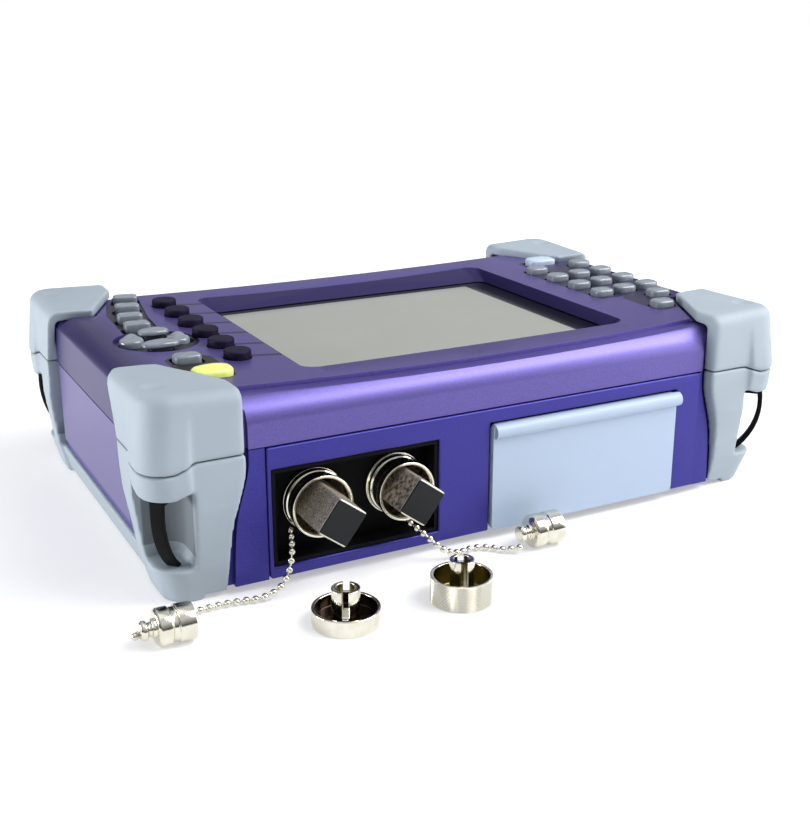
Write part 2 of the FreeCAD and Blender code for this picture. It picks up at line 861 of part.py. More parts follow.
wall = size("wall")
floor_top = low + wall
boss_x = size("boss_x")
boss_y = size("boss_y")
post_x = size("post_x")
post_y = size("post_y")
glass_top = size("glass_level")
glass_low = glass_top - size("glass_thick")
screen_top = glass_low - fit
screen_low = screen_top - size("screen_thick")
board_top = screen_low - fit
board_low = board_top - size("board_thick")
ceiling = deck - size("deck_wall") - 1.0
ceiling_mid = ceiling - size("deck_sag") + 0.5
screw_seat = size("screw_seat")
screw_r = size("screw_radius")
head_r = size("screw_head")
fascia_face = -(hy + size("fascia_proud"))
fascia_back = fascia_face + size("fascia_thick")
wall_face = fascia_back + fit
hollow_y = hy - seat - wall
bay_left = size("cover_left") - size("cover_gap")
bay_right = size("cover_right") + size("cover_gap")
bay_top = size("cover_high") + size("cover_gap")


def bottom_form():
    """Lower half: a tray with seats for the guards, screw bosses, board posts and openings."""
    top = parting - seam / 2
    body = box_between(-hx, hx, -hy, hy, low, top)
    body = body.cut(seats(hx))
    body = body.cut(prism(case_inside(), floor_top, top + 1))
    # bosses and posts
    fitted = []
    drilled = []
    for sign_x, sign_y in corner_places():
        x = sign_x * boss_x
        y = sign_y * boss_y
        fitted.append(tube_up(x, y, size("boss_radius"), low, top))
        drilled.append(tube_up(x, y, head_r + 0.5, low - 1, screw_seat))
        drilled.append(tube_up(x, y, screw_r + 0.15, low - 1, top + 1))
        fitted.append(tube_up(sign_x * post_x, sign_y * post_y, size("post_radius"), floor_top - 0.5,
                              board_low - fit))
    body = body.fuse(fitted)
    for drill in drilled:
        body = body.cut(drill)
    # face for the fascia
    left = size("fascia_left") - seam
    right = size("fascia_right") + seam
    body = body.cut(box_between(left, right, -hy - 1, wall_face, low - 1, top + 1))
    body = body.fuse(box_between(left, right, wall_face, -hollow_y + 0.01, low, top))
    # ports, bay and battery hatch
    port = box_between(size("port_left") - seam, size("port_right") + seam, -hy - 1, -hollow_y + 1,
                       size("port_low") - seam, size("port_high") + seam)
    bay = box_between(bay_left, bay_right, -hy - 1, -hollow_y + 1, low - 1, bay_top)
    hatch_y = size("door_half_y") - 5
    hatch = box_between(-hx - 1, -hx + wall + 3, -hatch_y, hatch_y, size("door_low") + 5, parting - 6)
    body = body.cut(port).cut(bay).cut(hatch)
    rail_reach = edge_y + size("narrowing") + 2
    for sign in (-1, 1):
        step = box_between(size("rail_seat"), hx + 5, -rail_reach, rail_reach, -1, size("rail_height") + fit)
        body = body.cut(mirrored(step, sign, 1))
    # low flat pad under the middle, level with the feet of the guards
    rest_x = size("rest_half_x")
    rest_y = size("rest_half_y")
    rest = Part.Face(rounded_rectangle(-rest_x, rest_x, -rest_y, rest_y, size("rest_corner"), 0))
    body = body.fuse(rest.extrude(vec(0, 0, low + 0.5)))
    return body.removeSplitter()


def well_tool():
    """The display well: a rounded rectangle at the glass that widens towards the deck."""
    low_z = glass_top + fit
    rim_z = deck - size("deck_sag") + 0.6
    high_z = deck + 1.0
    reach = (high_z - low_z) / (rim_z - low_z)
    wires = []
    for share, level in ((0.0, low_z), (reach, high_z)):
        sides = []
        for name in ("left", "right", "near", "far"):
            start = size("well_" + name)
            sides.append(start + (size("window_" + name) - start) * share)
        radius = size("well_radius") + (size("window_radius") - size("well_radius")) * share
        wires.append(rounded_rectangle(*sides, radius, level))
    return Part.makeLoft(wires, True, True)


def rounded_rectangle(x0, x1, y0, y1, radius, level):
    """Wire of a rectangle with four rounded corners."""
    shift = radius * (1 - math.sqrt(0.5))
    edges = []
    turns = ((x1, y0, -1, 1), (x1, y1, -1, -1), (x0, y1, 1, -1), (x0, y0, 1, 1))
    stops = []
    for number, (cx, cy, sx, sy) in enumerate(turns):
        along_x = vec(cx + sx * radius, cy, level)
        along_y = vec(cx, cy + sy * radius, level)
        middle = vec(cx + sx * shift, cy + sy * shift, level)
        first, last = (along_x, along_y) if number % 2 == 0 else (along_y, along_x)
        stops.append((first, middle, last))
    for number, (first, middle, last) in enumerate(stops):
        edges.append(Part.Arc(first, middle, last).toShape())
        edges.append(Part.LineSegment(last, stops[(number + 1) % 4][0]).toShape())
    return Part.Wire(edges)


# every key: name, x, y, length, width, turn in degrees, kind
KEYS = []
for number in range(6):
    y = size("softkey_first") - number * size("softkey_pitch")
    KEYS.append((f"softkey_{number + 1}", size("softkey_column"), y, 0, 0, 0, "round"))
function_places = ((-89.4, 59.4, -14), (-92.9, 44.2, -11), (-96.2, 28.4, -7), (-97.4, 14.8, -3))
for number, (x, y, turn) in enumerate(function_places):
    row_size = (size("function_length"), size("function_width"))
    KEYS.append((f"function_key_{number + 1}", x, y, *row_size, turn, "bar"))
pad_step = size("pad_step")
for name, dx, dy in (("left", -1, 0.12), ("up", 0.18, 1), ("right", 1, -0.08), ("down", -0.1, -1)):
    x = size("pad_x") + dx * pad_step
    y = size("pad_y") + dy * pad_step
    KEYS.append(("nav_key_" + name, x, y, 0, 0, 0, "nav"))
KEYS.append(("escape_key", -94.4, -33.8, 10.5, 7.6, 0, "bar"))
KEYS.append(("start_key", -91.7, -52.2, 13.6, 8.8, 0, "oval"))
digit_x = size("digit_first_x")
digit_y = size("digit_first_y")
step_x = size("digit_step_x")
step_y = size("digit_step_y")
digit_places = []
for column in range(3):
    first = 0 if column != 1 else 1
    for line in range(first, 4):
        digit_places.append((digit_x + column * step_x, digit_y - line * step_y))
digit_places.append((105.4, -32.0))
digit_places.append((96.0, -46.4))
for number, (x, y) in enumerate(digit_places):
    digit_size = (size("digit_length"), size("digit_width"))
    KEYS.append((f"digit_key_{number + 1}", x, y, *digit_size, 0, "bar"))
KEYS.append(("enter_key", 97.4, 42.6, 12.6, 8.2, -6, "bar"))


def key_radius(kind):
    return size("softkey_radius") if kind == "round" else size("pad_radius")


def key_hole(x, y, length, width, turn, kind):
    """Opening in the deck for one key."""
    room = size("key_fit")
    if kind in ("round", "nav"):
        return tube_up(x, y, key_radius(kind) + room, deck - 12, deck + 5)
    hole = box_between(-length / 2 - room, length / 2 + room, -width / 2 - room, width / 2 + room,
                       deck - 12, deck + 5)
    corners = [e for e in hole.Edges if upright(e)]
    corner = size("key_corner") if kind == "bar" else width / 2 - 0.6
    hole = hole.makeFillet(corner + room, corners)
    hole.rotate(vec(0, 0, 0), vec(0, 0, 1), turn)
    hole.translate(vec(x, y, 0))
    return hole


def recess_tools():
    """Shallow sunk fields round the keys on either side of the display."""
    depth = size("recess_depth")
    left = prism([(-82.8, 66.0), (-95.6, 66.0), (-102.6, 38.0), (-104.4, 8.0), (-90.0, 8.0), (-88.6, 30.0)],
                 deck_level(-97) - depth, deck + 2)
    pad = tube_up(size("pad_x"), size("pad_y"), 15.0, deck_level(-97) - depth, deck + 2)
    return [left, pad]


def top_form():
    """Upper half: crowned, shouldered deck with the display well and the key openings."""
    start = parting + seam / 2
    step_deck = deck - size("step")
    wide = crown_x
    field = shouldered().common(dished(step_deck))
    raised = plateau().common(dished(deck))
    body = field.fuse(raised).removeSplitter()
    body = body.common(box_between(-wide, wide, -hy, hy, start, deck + 5))
    body = body.cut(seats(wide))
    # hollow, with a lower ceiling where the deck sags
    body = body.cut(prism(case_inside(), start - 1, ceiling_mid - 2.5))
    body = body.cut(box_between(-106, 106, -66, 66, start, ceiling_mid))
    for x0, x1, y1 in ((-110, -71, 55), (82, 110, 55), (-103, -71, 66), (82, 103, 66)):
        body = body.cut(box_between(x0, x1, -y1, y1, start, ceiling))
    room_y = size("key_room_y")
    body = body.cut(box_between(109, size("key_room_x"), -room_y, room_y, ceiling_mid - 3.5, ceiling))
    frame_outer = box_between(size("window_left") - 2, size("window_right") + 2, size("window_near") - 2,
                              size("window_far") + 2, glass_top + fit, ceiling_mid + 0.5)
    body = body.fuse(frame_outer)
    body = body.cut(well_tool())
    for tool in recess_tools():
        body = body.cut(tool)
    holes = [key_hole(*key[1:]) for key in KEYS]
    body = body.cut(holes)
    # the caps' plates lie over the corners of the deck
    under = plate_under - fit
    for sign_x, sign_y in corner_places():
        plate = prism(cap_plan(size("guard_gap") * 0.6), under, deck + 5)
        body = body.cut(mirrored(plate, sign_x, sign_y))
        x = sign_x * boss_x
        y = sign_y * boss_y
        body = body.fuse(tube_up(x, y, size("boss_top_radius"), start, under - 1.0))
        body = body.cut(tube_up(x, y, screw_r + 0.05, start - 1, start + 10))
    return body.removeSplitter()


bottom_shape = bottom_form()
top_shape = top_form()
solid("bottom_housing", bottom_shape)
solid("top_housing", top_shape)


# ---------------------------------------------------------------- fascia and port panels
FACE_Y = "(-Dims.case_half_y - Dims.fascia_proud)"
plate = block("fascia_plate",
              ("Dims.fascia_right - Dims.fascia_left", "Dims.fascia_thick",
               "Dims.parting - Dims.seam - Dims.floor_gap - 0.4"),
              ("Dims.fascia_left", FACE_Y, "Dims.floor_gap + 0.4"))
port_cut = block("fascia_port",
                 ("Dims.port_right - Dims.port_left + 2 * Dims.seam", "20",
                  "Dims.port_high - Dims.port_low + 2 * Dims.seam"),
                 ("Dims.port_left - Dims.seam", FACE_Y + " - 5", "Dims.port_low - Dims.seam"))
bay_cut = block("fascia_bay",
                ("Dims.cover_right - Dims.cover_left + 2 * Dims.cover_gap", "20",
                 "Dims.cover_high + Dims.cover_gap"),
                ("Dims.cover_left - Dims.cover_gap", FACE_Y + " - 5", "0"))
keep("module_fascia", boolean("cut", "fascia", plate, [port_cut, bay_cut]))

TRAY_Y = "(" + FACE_Y + " + Dims.tray_inset)"
PANEL_Y = "(-Dims.case_half_y + Dims.port_depth)"
tray = block("tray_outer",
             ("Dims.port_right - Dims.port_left", PANEL_Y + " + Dims.panel_thick - " + TRAY_Y,
              "Dims.port_high - Dims.port_low"),
             ("Dims.port_left", TRAY_Y, "Dims.port_low"))
tray_in = block("tray_inner",
                ("Dims.port_right - Dims.port_left - 2 * Dims.tray_wall", PANEL_Y + " - " + TRAY_Y + " + 5",
                 "Dims.port_high - Dims.port_low - 2 * Dims.tray_wall"),
                ("Dims.port_left + Dims.tray_wall", TRAY_Y + " - 5", "Dims.port_low + Dims.tray_wall"))
tray_cuts = [tray_in]
for name, alias in (("one", "port_one_x"), ("two", "port_two_x")):
    drill = doc.addObject("Part::Cylinder", "tray_hole_" + name)
    bind(drill, Radius="Dims.shaft_radius + Dims.shaft_fit", Height="40")
    drill.Placement = FreeCAD.Placement(vec(0, 0, 0), FreeCAD.Rotation(vec(1, 0, 0), 90))
    place(drill, "Dims." + alias, "-50", "Dims.port_z")
    tray_cuts.append(drill)
keep("connector_panel", boolean("cut", "tray", tray, tray_cuts))


def adapter(node, x_alias, radius, proud):
    """Optical port adapter: screw ring, flange, shaft through the panel and rear sleeve."""
    body = doc.addObject("PartDesign::Body", node + "_body")
    bore = "(Dims." + radius + " - Dims.ring_wall)"
    front = "(-Dims.case_half_y - Dims." + proud + ")"
    seat_y = PANEL_Y
    corners = [
        (bore, front), ("Dims." + radius, front), ("Dims." + radius, seat_y + " - 1.6"),
        ("Dims.flange_radius", seat_y + " - 1.6"), ("Dims.flange_radius", seat_y),
        ("Dims.shaft_radius", seat_y), ("Dims.shaft_radius", seat_y + " + 6.5"),
        ("Dims.sleeve_radius", seat_y + " + 6.5"), ("Dims.sleeve_radius", seat_y + " + 12"),
        ("Dims.plug_pin + 0.4", seat_y + " + 12"), ("Dims.plug_pin + 0.4", seat_y + " + 4.6"),
        (bore, seat_y + " + 4.6"),
    ]
    section = outline(body, node + "_section", "XY_Plane", corners)
    revolve(body, section)
    place(body, "Dims." + x_alias, "0", "Dims.port_z")
    return keep(node, body)


adapter("adapter_left", "port_one_x", "ring_radius_one", "ring_one")
adapter("adapter_right", "port_two_x", "ring_radius_two", "ring_two")


def dust_plug(node, x_alias, proud, ring):
    """Square dust plug with a framed face and a pin that enters the adapter's sleeve."""
    body = doc.addObject("PartDesign::Body", node + "_body")
    half_a = "Dims.plug_long / 2"
    half_b = "Dims.plug_short / 2"
    square = [("-" + half_a, "-" + half_b), (half_a, "-" + half_b), (half_a, half_b), ("-" + half_a, half_b)]
    section = outline(body, node + "_section", "XZ_Plane", square)
    length = "(Dims." + ring + " + Dims." + proud + " + Dims.plug_depth)"
    bar = pad(body, section, length)
    long_edges = lambda e: e.BoundBox.YLength > 5
    soft = round_edges(body, bar, long_edges, "Dims.plug_corner")
    inset = "Dims.plug_corner"
    face = [("-" + half_a + " + " + inset, "-" + half_b + " + " + inset),
            (half_a + " - " + inset, "-" + half_b + " + " + inset),
            (half_a + " - " + inset, half_b + " - " + inset),
            ("-" + half_a + " + " + inset, half_b + " - " + inset)]
    dish = outline(body, node + "_dish", "XZ_Plane", face, length + " - 0.7")
    cut = body.newObject("PartDesign::Pocket", node + "_face")
    cut.Profile = dish
    cut.Length = 5
    cut.Reversed = True
    doc.recompute()
    pin = disc(body, node + "_pin", "XZ_Plane", "Dims.plug_pin", "-5")
    pad(body, pin, "6")
    body.Placement = FreeCAD.Placement(vec(0, 0, 0), FreeCAD.Rotation(vec(0, 1, 0), -size("plug_turn")))
    place(body, "Dims." + x_alias, "Dims.plug_depth - Dims.case_half_y", "Dims.port_z")
    return keep(node, body)


dust_plug("dust_plug_left", "port_one_x", "plug_one", "ring_one")
dust_plug("dust_plug_right", "port_two_x", "plug_two", "ring_two")

# ---------------------------------------------------------------- port bay and its hinged cover
BACK_Y = "(-Dims.case_half_y + Dims.guard_seat + Dims.wall + Dims.seam)"
PIVOT_Y = "(-Dims.case_half_y + Dims.pivot_inset)"
PIVOT_Z = "Dims.pivot_level"
back = block("bay_plate",
             ("Dims.cover_right - Dims.cover_left + 8", "2", "Dims.cover_high - Dims.floor_gap"),
             ("Dims.cover_left - 4", BACK_Y, "Dims.floor_gap + Dims.wall + Dims.seam"))
bay_parts = []
bay_cuts = []
SOCKETS = (("wide", 6.0, 15.0, 16.0, 12.5), ("flat_one", 29.0, 15.0, 13.5, 6.0),
           ("flat_two", 29.0, 25.0, 13.5, 6.0), ("small", 50.0, 17.0, 9.0, 9.0), ("last", 65.0, 16.0, 8.0, 5.0))
for name, x, z, wide, high in SOCKETS:
    shell = block("socket_" + name, (wide + 2.4, 11, high + 2.4), (x - 1.2, BACK_Y + " + 1", z - 1.2))
    hole = block("mouth_" + name, (wide, 14, high), (x, BACK_Y + " - 5", z))
    bay_parts.append(shell)
    bay_cuts.append(hole)
LUG_R = "(Dims.pin_radius + 1)"
for name, x in (("near", "Dims.cover_left + 0.2"), ("far", "Dims.cover_right - 2.2")):
    lug = block("lug_" + name, ("2", BACK_Y + " - " + PIVOT_Y + " + 0.2", "2 * " + LUG_R),
                (x, PIVOT_Y, PIVOT_Z + " - " + LUG_R))
    nose = doc.addObject("Part::Cylinder", "lug_nose_" + name)
    bind(nose, Radius=LUG_R, Height="2")
    nose.Placement = FreeCAD.Placement(vec(0, 0, 0), FreeCAD.Rotation(vec(0, 1, 0), 90))
    place(nose, x, PIVOT_Y, PIVOT_Z)
    bay_parts += [lug, nose]
pivot_hole = doc.addObject("Part::Cylinder", "pivot_hole")
bind(pivot_hole, Radius="Dims.pin_radius + Dims.shaft_fit", Height="Dims.cover_right - Dims.cover_left + 10")
pivot_hole.Placement = FreeCAD.Placement(vec(0, 0, 0), FreeCAD.Rotation(vec(0, 1, 0), 90))
place(pivot_hole, "Dims.cover_left - 5", PIVOT_Y, PIVOT_Z)
bay_cuts.append(pivot_hole)
EARS = (("near", "Dims.cover_left + 2.6", "Dims.cover_left + 0.4"),
        ("far", "Dims.cover_right - 4.6", "Dims.cover_right - 2.8"))
for name, x, pin_x in EARS:
    bay_cuts.append(block("ear_room_" + name, ("2.6", "1 + Dims.ear_room", "6"),
                          (x + " - 0.3", BACK_Y + " - 1", PIVOT_Z + " - 3")))
bay_solid = boolean("fuse", "bay_panel", back, bay_parts)
keep("interface_panel", boolean("cut", "bay_panel_cut", bay_solid, bay_cuts))


def port_cover():
    """Cover plate with a rounded finger lip along its top and two hinge ears at its foot."""
    body = doc.addObject("PartDesign::Body", "cover_body")
    face = [("Dims.cover_left", "Dims.cover_low"), ("Dims.cover_right", "Dims.cover_low"),
            ("Dims.cover_right", "Dims.cover_high"), ("Dims.cover_left", "Dims.cover_high")]
    outer = "(Dims.case_half_y + Dims.cover_proud)"
    section = outline(body, "cover_section", "XZ_Plane", face, outer + " - Dims.cover_thick")
    plate = pad(body, section, "Dims.cover_thick")
    corner = lambda e: e.BoundBox.XLength < 1e-6 and e.BoundBox.ZLength < 1e-6
    round_edges(body, plate, corner, "Dims.lip_radius * 0.7")
    lip_y = "(-" + outer + " + Dims.lip_inset)"
    lip_z = "(Dims.cover_high - Dims.lip_radius)"
    lip = disc(body, "cover_lip", "YZ_Plane", "Dims.lip_radius", "Dims.cover_left + 0.6", (lip_y, lip_z))
    pad(body, lip, "Dims.cover_right - Dims.cover_left + Dims.lip_overhang - 0.6")
    back_y = "(-" + outer + " + Dims.cover_thick)"
    flat = [(back_y, "0"), (back_y + " + 6", "0"), (back_y + " + 6", "60"), (back_y, "60")]
    trim = outline(body, "cover_trim", "YZ_Plane", flat, "Dims.cover_left - 2")
    pocket(body, trim, "Dims.cover_right - Dims.cover_left + 6")
    front_y = "(" + FACE_Y + " - 0.3)"
    over = [(front_y, "0"), (front_y + " + 9", "0"), (front_y + " + 9", "60"), (front_y, "60")]
    clear = outline(body, "cover_clear", "YZ_Plane", over, "Dims.cover_right + 0.3 + 5")
    pocket(body, clear, "5")
    for name, start, pin_start in EARS:
        ear = [(back_y + " - 0.5", PIVOT_Z + " - 2"), (PIVOT_Y + " + 1.6", PIVOT_Z + " - 2"),
               (PIVOT_Y + " + 1.6", PIVOT_Z + " + 2"), (back_y + " - 0.5", PIVOT_Z + " + 4")]
        side = outline(body, "ear_" + name, "YZ_Plane", ear, start)
        pad(body, side, "2")
        pin = disc(body, "pin_" + name, "YZ_Plane", "Dims.pin_radius", pin_start, (PIVOT_Y, PIVOT_Z))
        pad(body, pin, "2.4")
    return keep("port_cover", body)


port_cover()

# ---------------------------------------------------------------- battery door and what is inside
DOOR_X = "(-Dims.case_half_x - Dims.seam - Dims.door_thick)"
door = block("door_plate",
             ("Dims.door_thick", "2 * Dims.door_half_y",
              "Dims.parting - Dims.seam - Dims.door_low"),
             (DOOR_X, "-Dims.door_half_y", "Dims.door_low"))
rib = block("door_rib", ("Dims.wall + 2.5", "2 * Dims.door_half_y - 11", "Dims.parting - 12.2 - Dims.door_low"),
            (DOOR_X + " + 1", "-Dims.door_half_y + 5.5", "Dims.door_low + 5.6"))
rib_hole = block("door_rib_hole", ("Dims.wall + 4", "2 * Dims.door_half_y - 14", "Dims.parting - 15.2 - Dims.door_low"),
                 (DOOR_X + " + 1.9", "-Dims.door_half_y + 7", "Dims.door_low + 7.1"))
door_rib = boolean("cut", "door_frame", rib, [rib_hole])
keep("battery_door", boolean("fuse", "door", door, [door_rib]))

FLOOR = "(Dims.floor_gap + Dims.wall + Dims.guard_fit)"
pack_x = "(-Dims.case_half_x + Dims.guard_seat + Dims.wall + 2)"
keep("battery_pack", block("battery", ("Dims.pack_length", "Dims.pack_width", "Dims.pack_height"),
                           (pack_x, "-Dims.pack_width / 2", FLOOR)))
core = block("optics_box", ("Dims.optics_length", "Dims.optics_width", "Dims.optics_height"),
             ("-Dims.optics_length / 2", "Dims.optics_y - Dims.optics_width / 2", FLOOR))
lid = block("optics_lid", ("Dims.optics_length + 4", "Dims.optics_width + 4", "2"),
            ("-Dims.optics_length / 2 - 2", "Dims.optics_y - Dims.optics_width / 2 - 2",
             FLOOR + " + Dims.optics_height"))
feet = [lid]
for index, x in enumerate((-38, 38)):
    feet.append(block(f"optics_ear_{index}", ("10", "8", "3"),
                      (x - 5, "Dims.optics_y + Dims.optics_width / 2 - 1", FLOOR)))
keep("optical_module", boolean("fuse", "optics", core, feet))

SCREEN_TOP = "(Dims.glass_level - Dims.glass_thick - Dims.guard_fit)"
screen_corner = ("Dims.screen_x - Dims.screen_width / 2", "Dims.screen_y - Dims.screen_depth / 2",
                 SCREEN_TOP + " - Dims.screen_thick")
keep("display_module", block("screen", ("Dims.screen_width", "Dims.screen_depth", "Dims.screen_thick"),
                             screen_corner))
glass = block("glass",
              ("Dims.well_right - Dims.well_left + 2 * Dims.glass_overlap",
               "Dims.well_far - Dims.well_near + 2 * Dims.glass_overlap", "Dims.glass_thick"),
              ("Dims.well_left - Dims.glass_overlap", "Dims.well_near - Dims.glass_overlap",
               "Dims.glass_level - Dims.glass_thick"))
keep("display_lens", glass)

BOARD_TOP = "(" + SCREEN_TOP + " - Dims.screen_thick - Dims.guard_fit)"
KEY_LOW = "(Dims.deck - Dims.deck_wall - 1 - Dims.guard_fit - Dims.key_flange_thick)"
WING_TOP = "(" + KEY_LOW + " - Dims.key_travel - Dims.guard_fit)"
slab = block("board_slab", ("Dims.board_length", "Dims.board_width", "Dims.board_thick"),
             ("-Dims.board_length / 2", "-Dims.board_width / 2", BOARD_TOP + " - Dims.board_thick"))
board_parts = []
for side, x0, x1, y0, y1 in (("left", -105.6, -70.4, -56.0, 60.0), ("right", 82.4, 108.0, -54.0, 50.0)):
    board_parts.append(block("wing_" + side, (x1 - x0, y1 - y0, "Dims.board_thick"),
                             (x0, y0, WING_TOP + " - Dims.board_thick")))
    for number, (x, y) in enumerate(((x0 + 5, y0 + 6), (x1 - 5, y0 + 6), (x0 + 5, y1 - 12), (x1 - 5, y1 - 12))):
        board_parts.append(block(f"stand_{side}_{number}", ("4", "4", WING_TOP + " - 1.4 - " + BOARD_TOP),
                                 (x - 2, y - 2, BOARD_TOP + " - 0.1")))
room_y = size("key_room_y") - 1
board_parts.append(block("wing_edge", ("Dims.key_room_x - 0.4 - 107", 2 * room_y, "Dims.board_thick"),
                         (107, -room_y, WING_TOP + " - Dims.board_thick")))
keep("main_board", boolean("fuse", "board", slab, board_parts))

screws = doc.addObject("Part::Compound", "screws")
links = []
for number, (sign_x, sign_y) in enumerate(corner_places()):
    head = doc.addObject("Part::Cylinder", f"screw_head_{number}")
    bind(head, Radius=str(head_r), Height="2")
    place(head, sign_x * boss_x, sign_y * boss_y, screw_seat - 2)
    shank = doc.addObject("Part::Cylinder", f"screw_shank_{number}")
    bind(shank, Radius=str(screw_r), Height="Dims.parting + 9 - " + str(screw_seat) + " + 1")
    place(shank, sign_x * boss_x, sign_y * boss_y, screw_seat - 1)
    links.append(boolean("fuse", f"screw_{number}", head, [shank]))
screws.Links = links
keep("housing_screws", screws)

# ---------------------------------------------------------------- keys


def key_top(x):
    return deck_level(x) + size("key_rise") - size("recess_depth") * 0.5


def round_key(node, x, y, radius):
    """Domed round key: barrel, slightly coned cap and a retaining flange."""
    base = doc.addObject("Part::Cylinder", node + "_barrel")
    top = key_top(x)
    bind(base, Radius="Dims." + radius, Height=str(top - 0.9) + " - " + KEY_LOW)
    place(base, x, y, KEY_LOW)
    crown = doc.addObject("Part::Cone", node + "_crown")
    bind(crown, Radius1="Dims." + radius, Radius2="Dims." + radius + " - 1.5", Height="0.9")
    place(crown, x, y, str(top - 0.9))
    flange = doc.addObject("Part::Cylinder", node + "_flange")
    bind(flange, Radius="Dims." + radius + " + Dims.key_flange", Height="Dims.key_flange_thick")
    place(flange, x, y, KEY_LOW)
    return keep(node, boolean("fuse", node + "_key", base, [crown, flange]))


def bar_key(node, x, y, length, width, turn, kind):
    """Key with a rounded outline, a bevelled top and a retaining flange."""
    body = doc.addObject("PartDesign::Body", node + "_body")
    half_a = str(length / 2)
    half_b = str(width / 2)
    ring = [("-" + half_a, "-" + half_b), (half_a, "-" + half_b), (half_a, half_b), ("-" + half_a, half_b)]
    section = outline(body, node + "_outline", "XY_Plane", ring)
    bar = pad(body, section, str(key_top(x)) + " - " + KEY_LOW)
    corner = "Dims.key_corner" if kind == "bar" else str(width / 2 - 0.6)
    soft = round_edges(body, bar, upright, corner)
    top = soft.Shape.BoundBox.ZMax
    round_edges(body, soft, at_height(top), "0.6", "PartDesign::Chamfer")
    grow = " + Dims.key_flange"
    wide = [("-" + half_a + " - Dims.key_flange", "-" + half_b + " - Dims.key_flange"),
            (half_a + grow, "-" + half_b + " - Dims.key_flange"),
            (half_a + grow, half_b + grow), ("-" + half_a + " - Dims.key_flange", half_b + grow)]
    flange = outline(body, node + "_flange", "XY_Plane", wide)
    pad(body, flange, "Dims.key_flange_thick")
    body.Placement = FreeCAD.Placement(vec(0, 0, 0), FreeCAD.Rotation(vec(0, 0, 1), turn))
    place(body, x, y, KEY_LOW)
    return keep(node, body)


for node, x, y, length, width, turn, kind in KEYS:
    if kind == "round":
        round_key(node, x, y, "softkey_radius")
    elif kind == "nav":
        round_key(node, x, y, "pad_radius")
    else:
        bar_key(node, x, y, length, width, turn, kind)

# ---------------------------------------------------------------- loose adapters, chains and their caps


def loose_adapter(node, prefix):
    """Port adapter lying open end up: a cup with a slotted post in the middle."""
    body = doc.addObject("PartDesign::Body", node + "_body")
    tag = "Dims.cup_" + prefix + "_"
    post = "Dims.post_" + prefix + "_"
    bore = "(" + post + "radius - 1.3)"
    corners = [
        (bore, "0"), (tag + "radius", "0"), (tag + "radius", tag + "height"),
        (tag + "radius - Dims.cup_wall", tag + "height"), (tag + "radius - Dims.cup_wall", "Dims.cup_floor"),
        (post + "radius", "Dims.cup_floor"), (post + "radius", post + "top"), (bore, post + "top"),
    ]
    revolve(body, outline(body, node + "_section", "XZ_Plane", corners))
    slot = [("-1", "-8"), ("1", "-8"), ("1", "8"), ("-1", "8")]
    cut = outline(body, node + "_slot", "XY_Plane", slot, "Dims.cup_floor + 1.5")
    feature = body.newObject("PartDesign::Pocket", node + "_slit")
    feature.Profile = cut
    feature.Length = 30
    feature.Reversed = True
    doc.recompute()
    turn = 28 if prefix == "one" else 20
    body.Placement = FreeCAD.Placement(vec(0, 0, 0), FreeCAD.Rotation(vec(0, 0, 1), -turn))
    place(body, tag + "x", tag + "y", "0")
    return keep(node, body)


loose_adapter("loose_adapter_plain", "one")
loose_adapter("loose_adapter_knurled", "two")


def chain_cap(node, x, y, facing):
    """Screw-on dust cap lying on its side; its boss, at the chain, points along facing."""
    body = doc.addObject("PartDesign::Body", node + "_body")
    corners = [
        ("0", "0"), ("3", "0"), ("3", "Dims.dust_boss * 1.5"), ("Dims.dust_radius - 0.8", "Dims.dust_boss * 1.5"),
        ("Dims.dust_radius", "Dims.dust_boss * 1.5 + 0.8"),
        ("Dims.dust_radius", "Dims.dust_boss * 1.5 + Dims.dust_length"),
        ("Dims.dust_radius - 1.2", "Dims.dust_boss * 1.5 + Dims.dust_length"),
        ("Dims.dust_radius - 1.2", "Dims.dust_boss * 1.5 + 2.5"), ("0", "Dims.dust_boss * 1.5 + 2.5"),
    ]
    revolve(body, outline(body, node + "_section", "XZ_Plane", corners))
    body.Placement = FreeCAD.Placement(vec(0, 0, 0), FreeCAD.Rotation(vec(0, 1, 0), 90 * facing))
    place(body, x, y, "Dims.dust_radius")
    return keep(node, body)


chain_cap("chain_cap_left", -133.5, -98.0, 1)
chain_cap("chain_cap_right", 1.5, -92.0, 1)


def tube(node, points, diameter):
    """Limp tube through route points: straight runs joined by tangent arcs."""
    pts = [vec(*q) for q in points]
    cuts = []
    for i in range(1, len(pts) - 1):
        back_run = pts[i - 1] - pts[i]
        next_run = pts[i + 1] - pts[i]
        turn = math.pi - back_run.getAngle(next_run)
        trim = 0.45 * min(back_run.Length, next_run.Length)
        radius = trim / math.tan(turn / 2)
        first = pts[i] + back_run.normalize() * trim
        last = pts[i] + next_run.normalize() * trim
        mid_dir = ((first - pts[i]) + (last - pts[i])).normalize()
        centre_far = radius / math.cos(turn / 2)
        middle = pts[i] + mid_dir * (centre_far - radius)
        cuts.append((first, middle, last, radius))
    edges = []
    here = pts[0]
    for first, middle, last, radius in cuts:
        edges.append(Part.LineSegment(here, first).toShape())
        edges.append(Part.Arc(first, middle, last).toShape())
        here = last
    edges.append(Part.LineSegment(here, pts[-1]).toShape())
    line = Part.Wire(edges)
    start_dir = (pts[1] - pts[0]).normalize()
    ring = Part.Wire(Part.Circle(pts[0], start_dir, diameter / 2).toShape())
    swept = line.makePipeShell([ring], True, False)
    expected = math.pi * (diameter / 2) ** 2 * line.Length
    radii = [round(c[3], 1) for c in cuts]
    print(node, "radii", radii, "volume share", round(swept.Volume / expected, 3))
    return solid(node, swept)


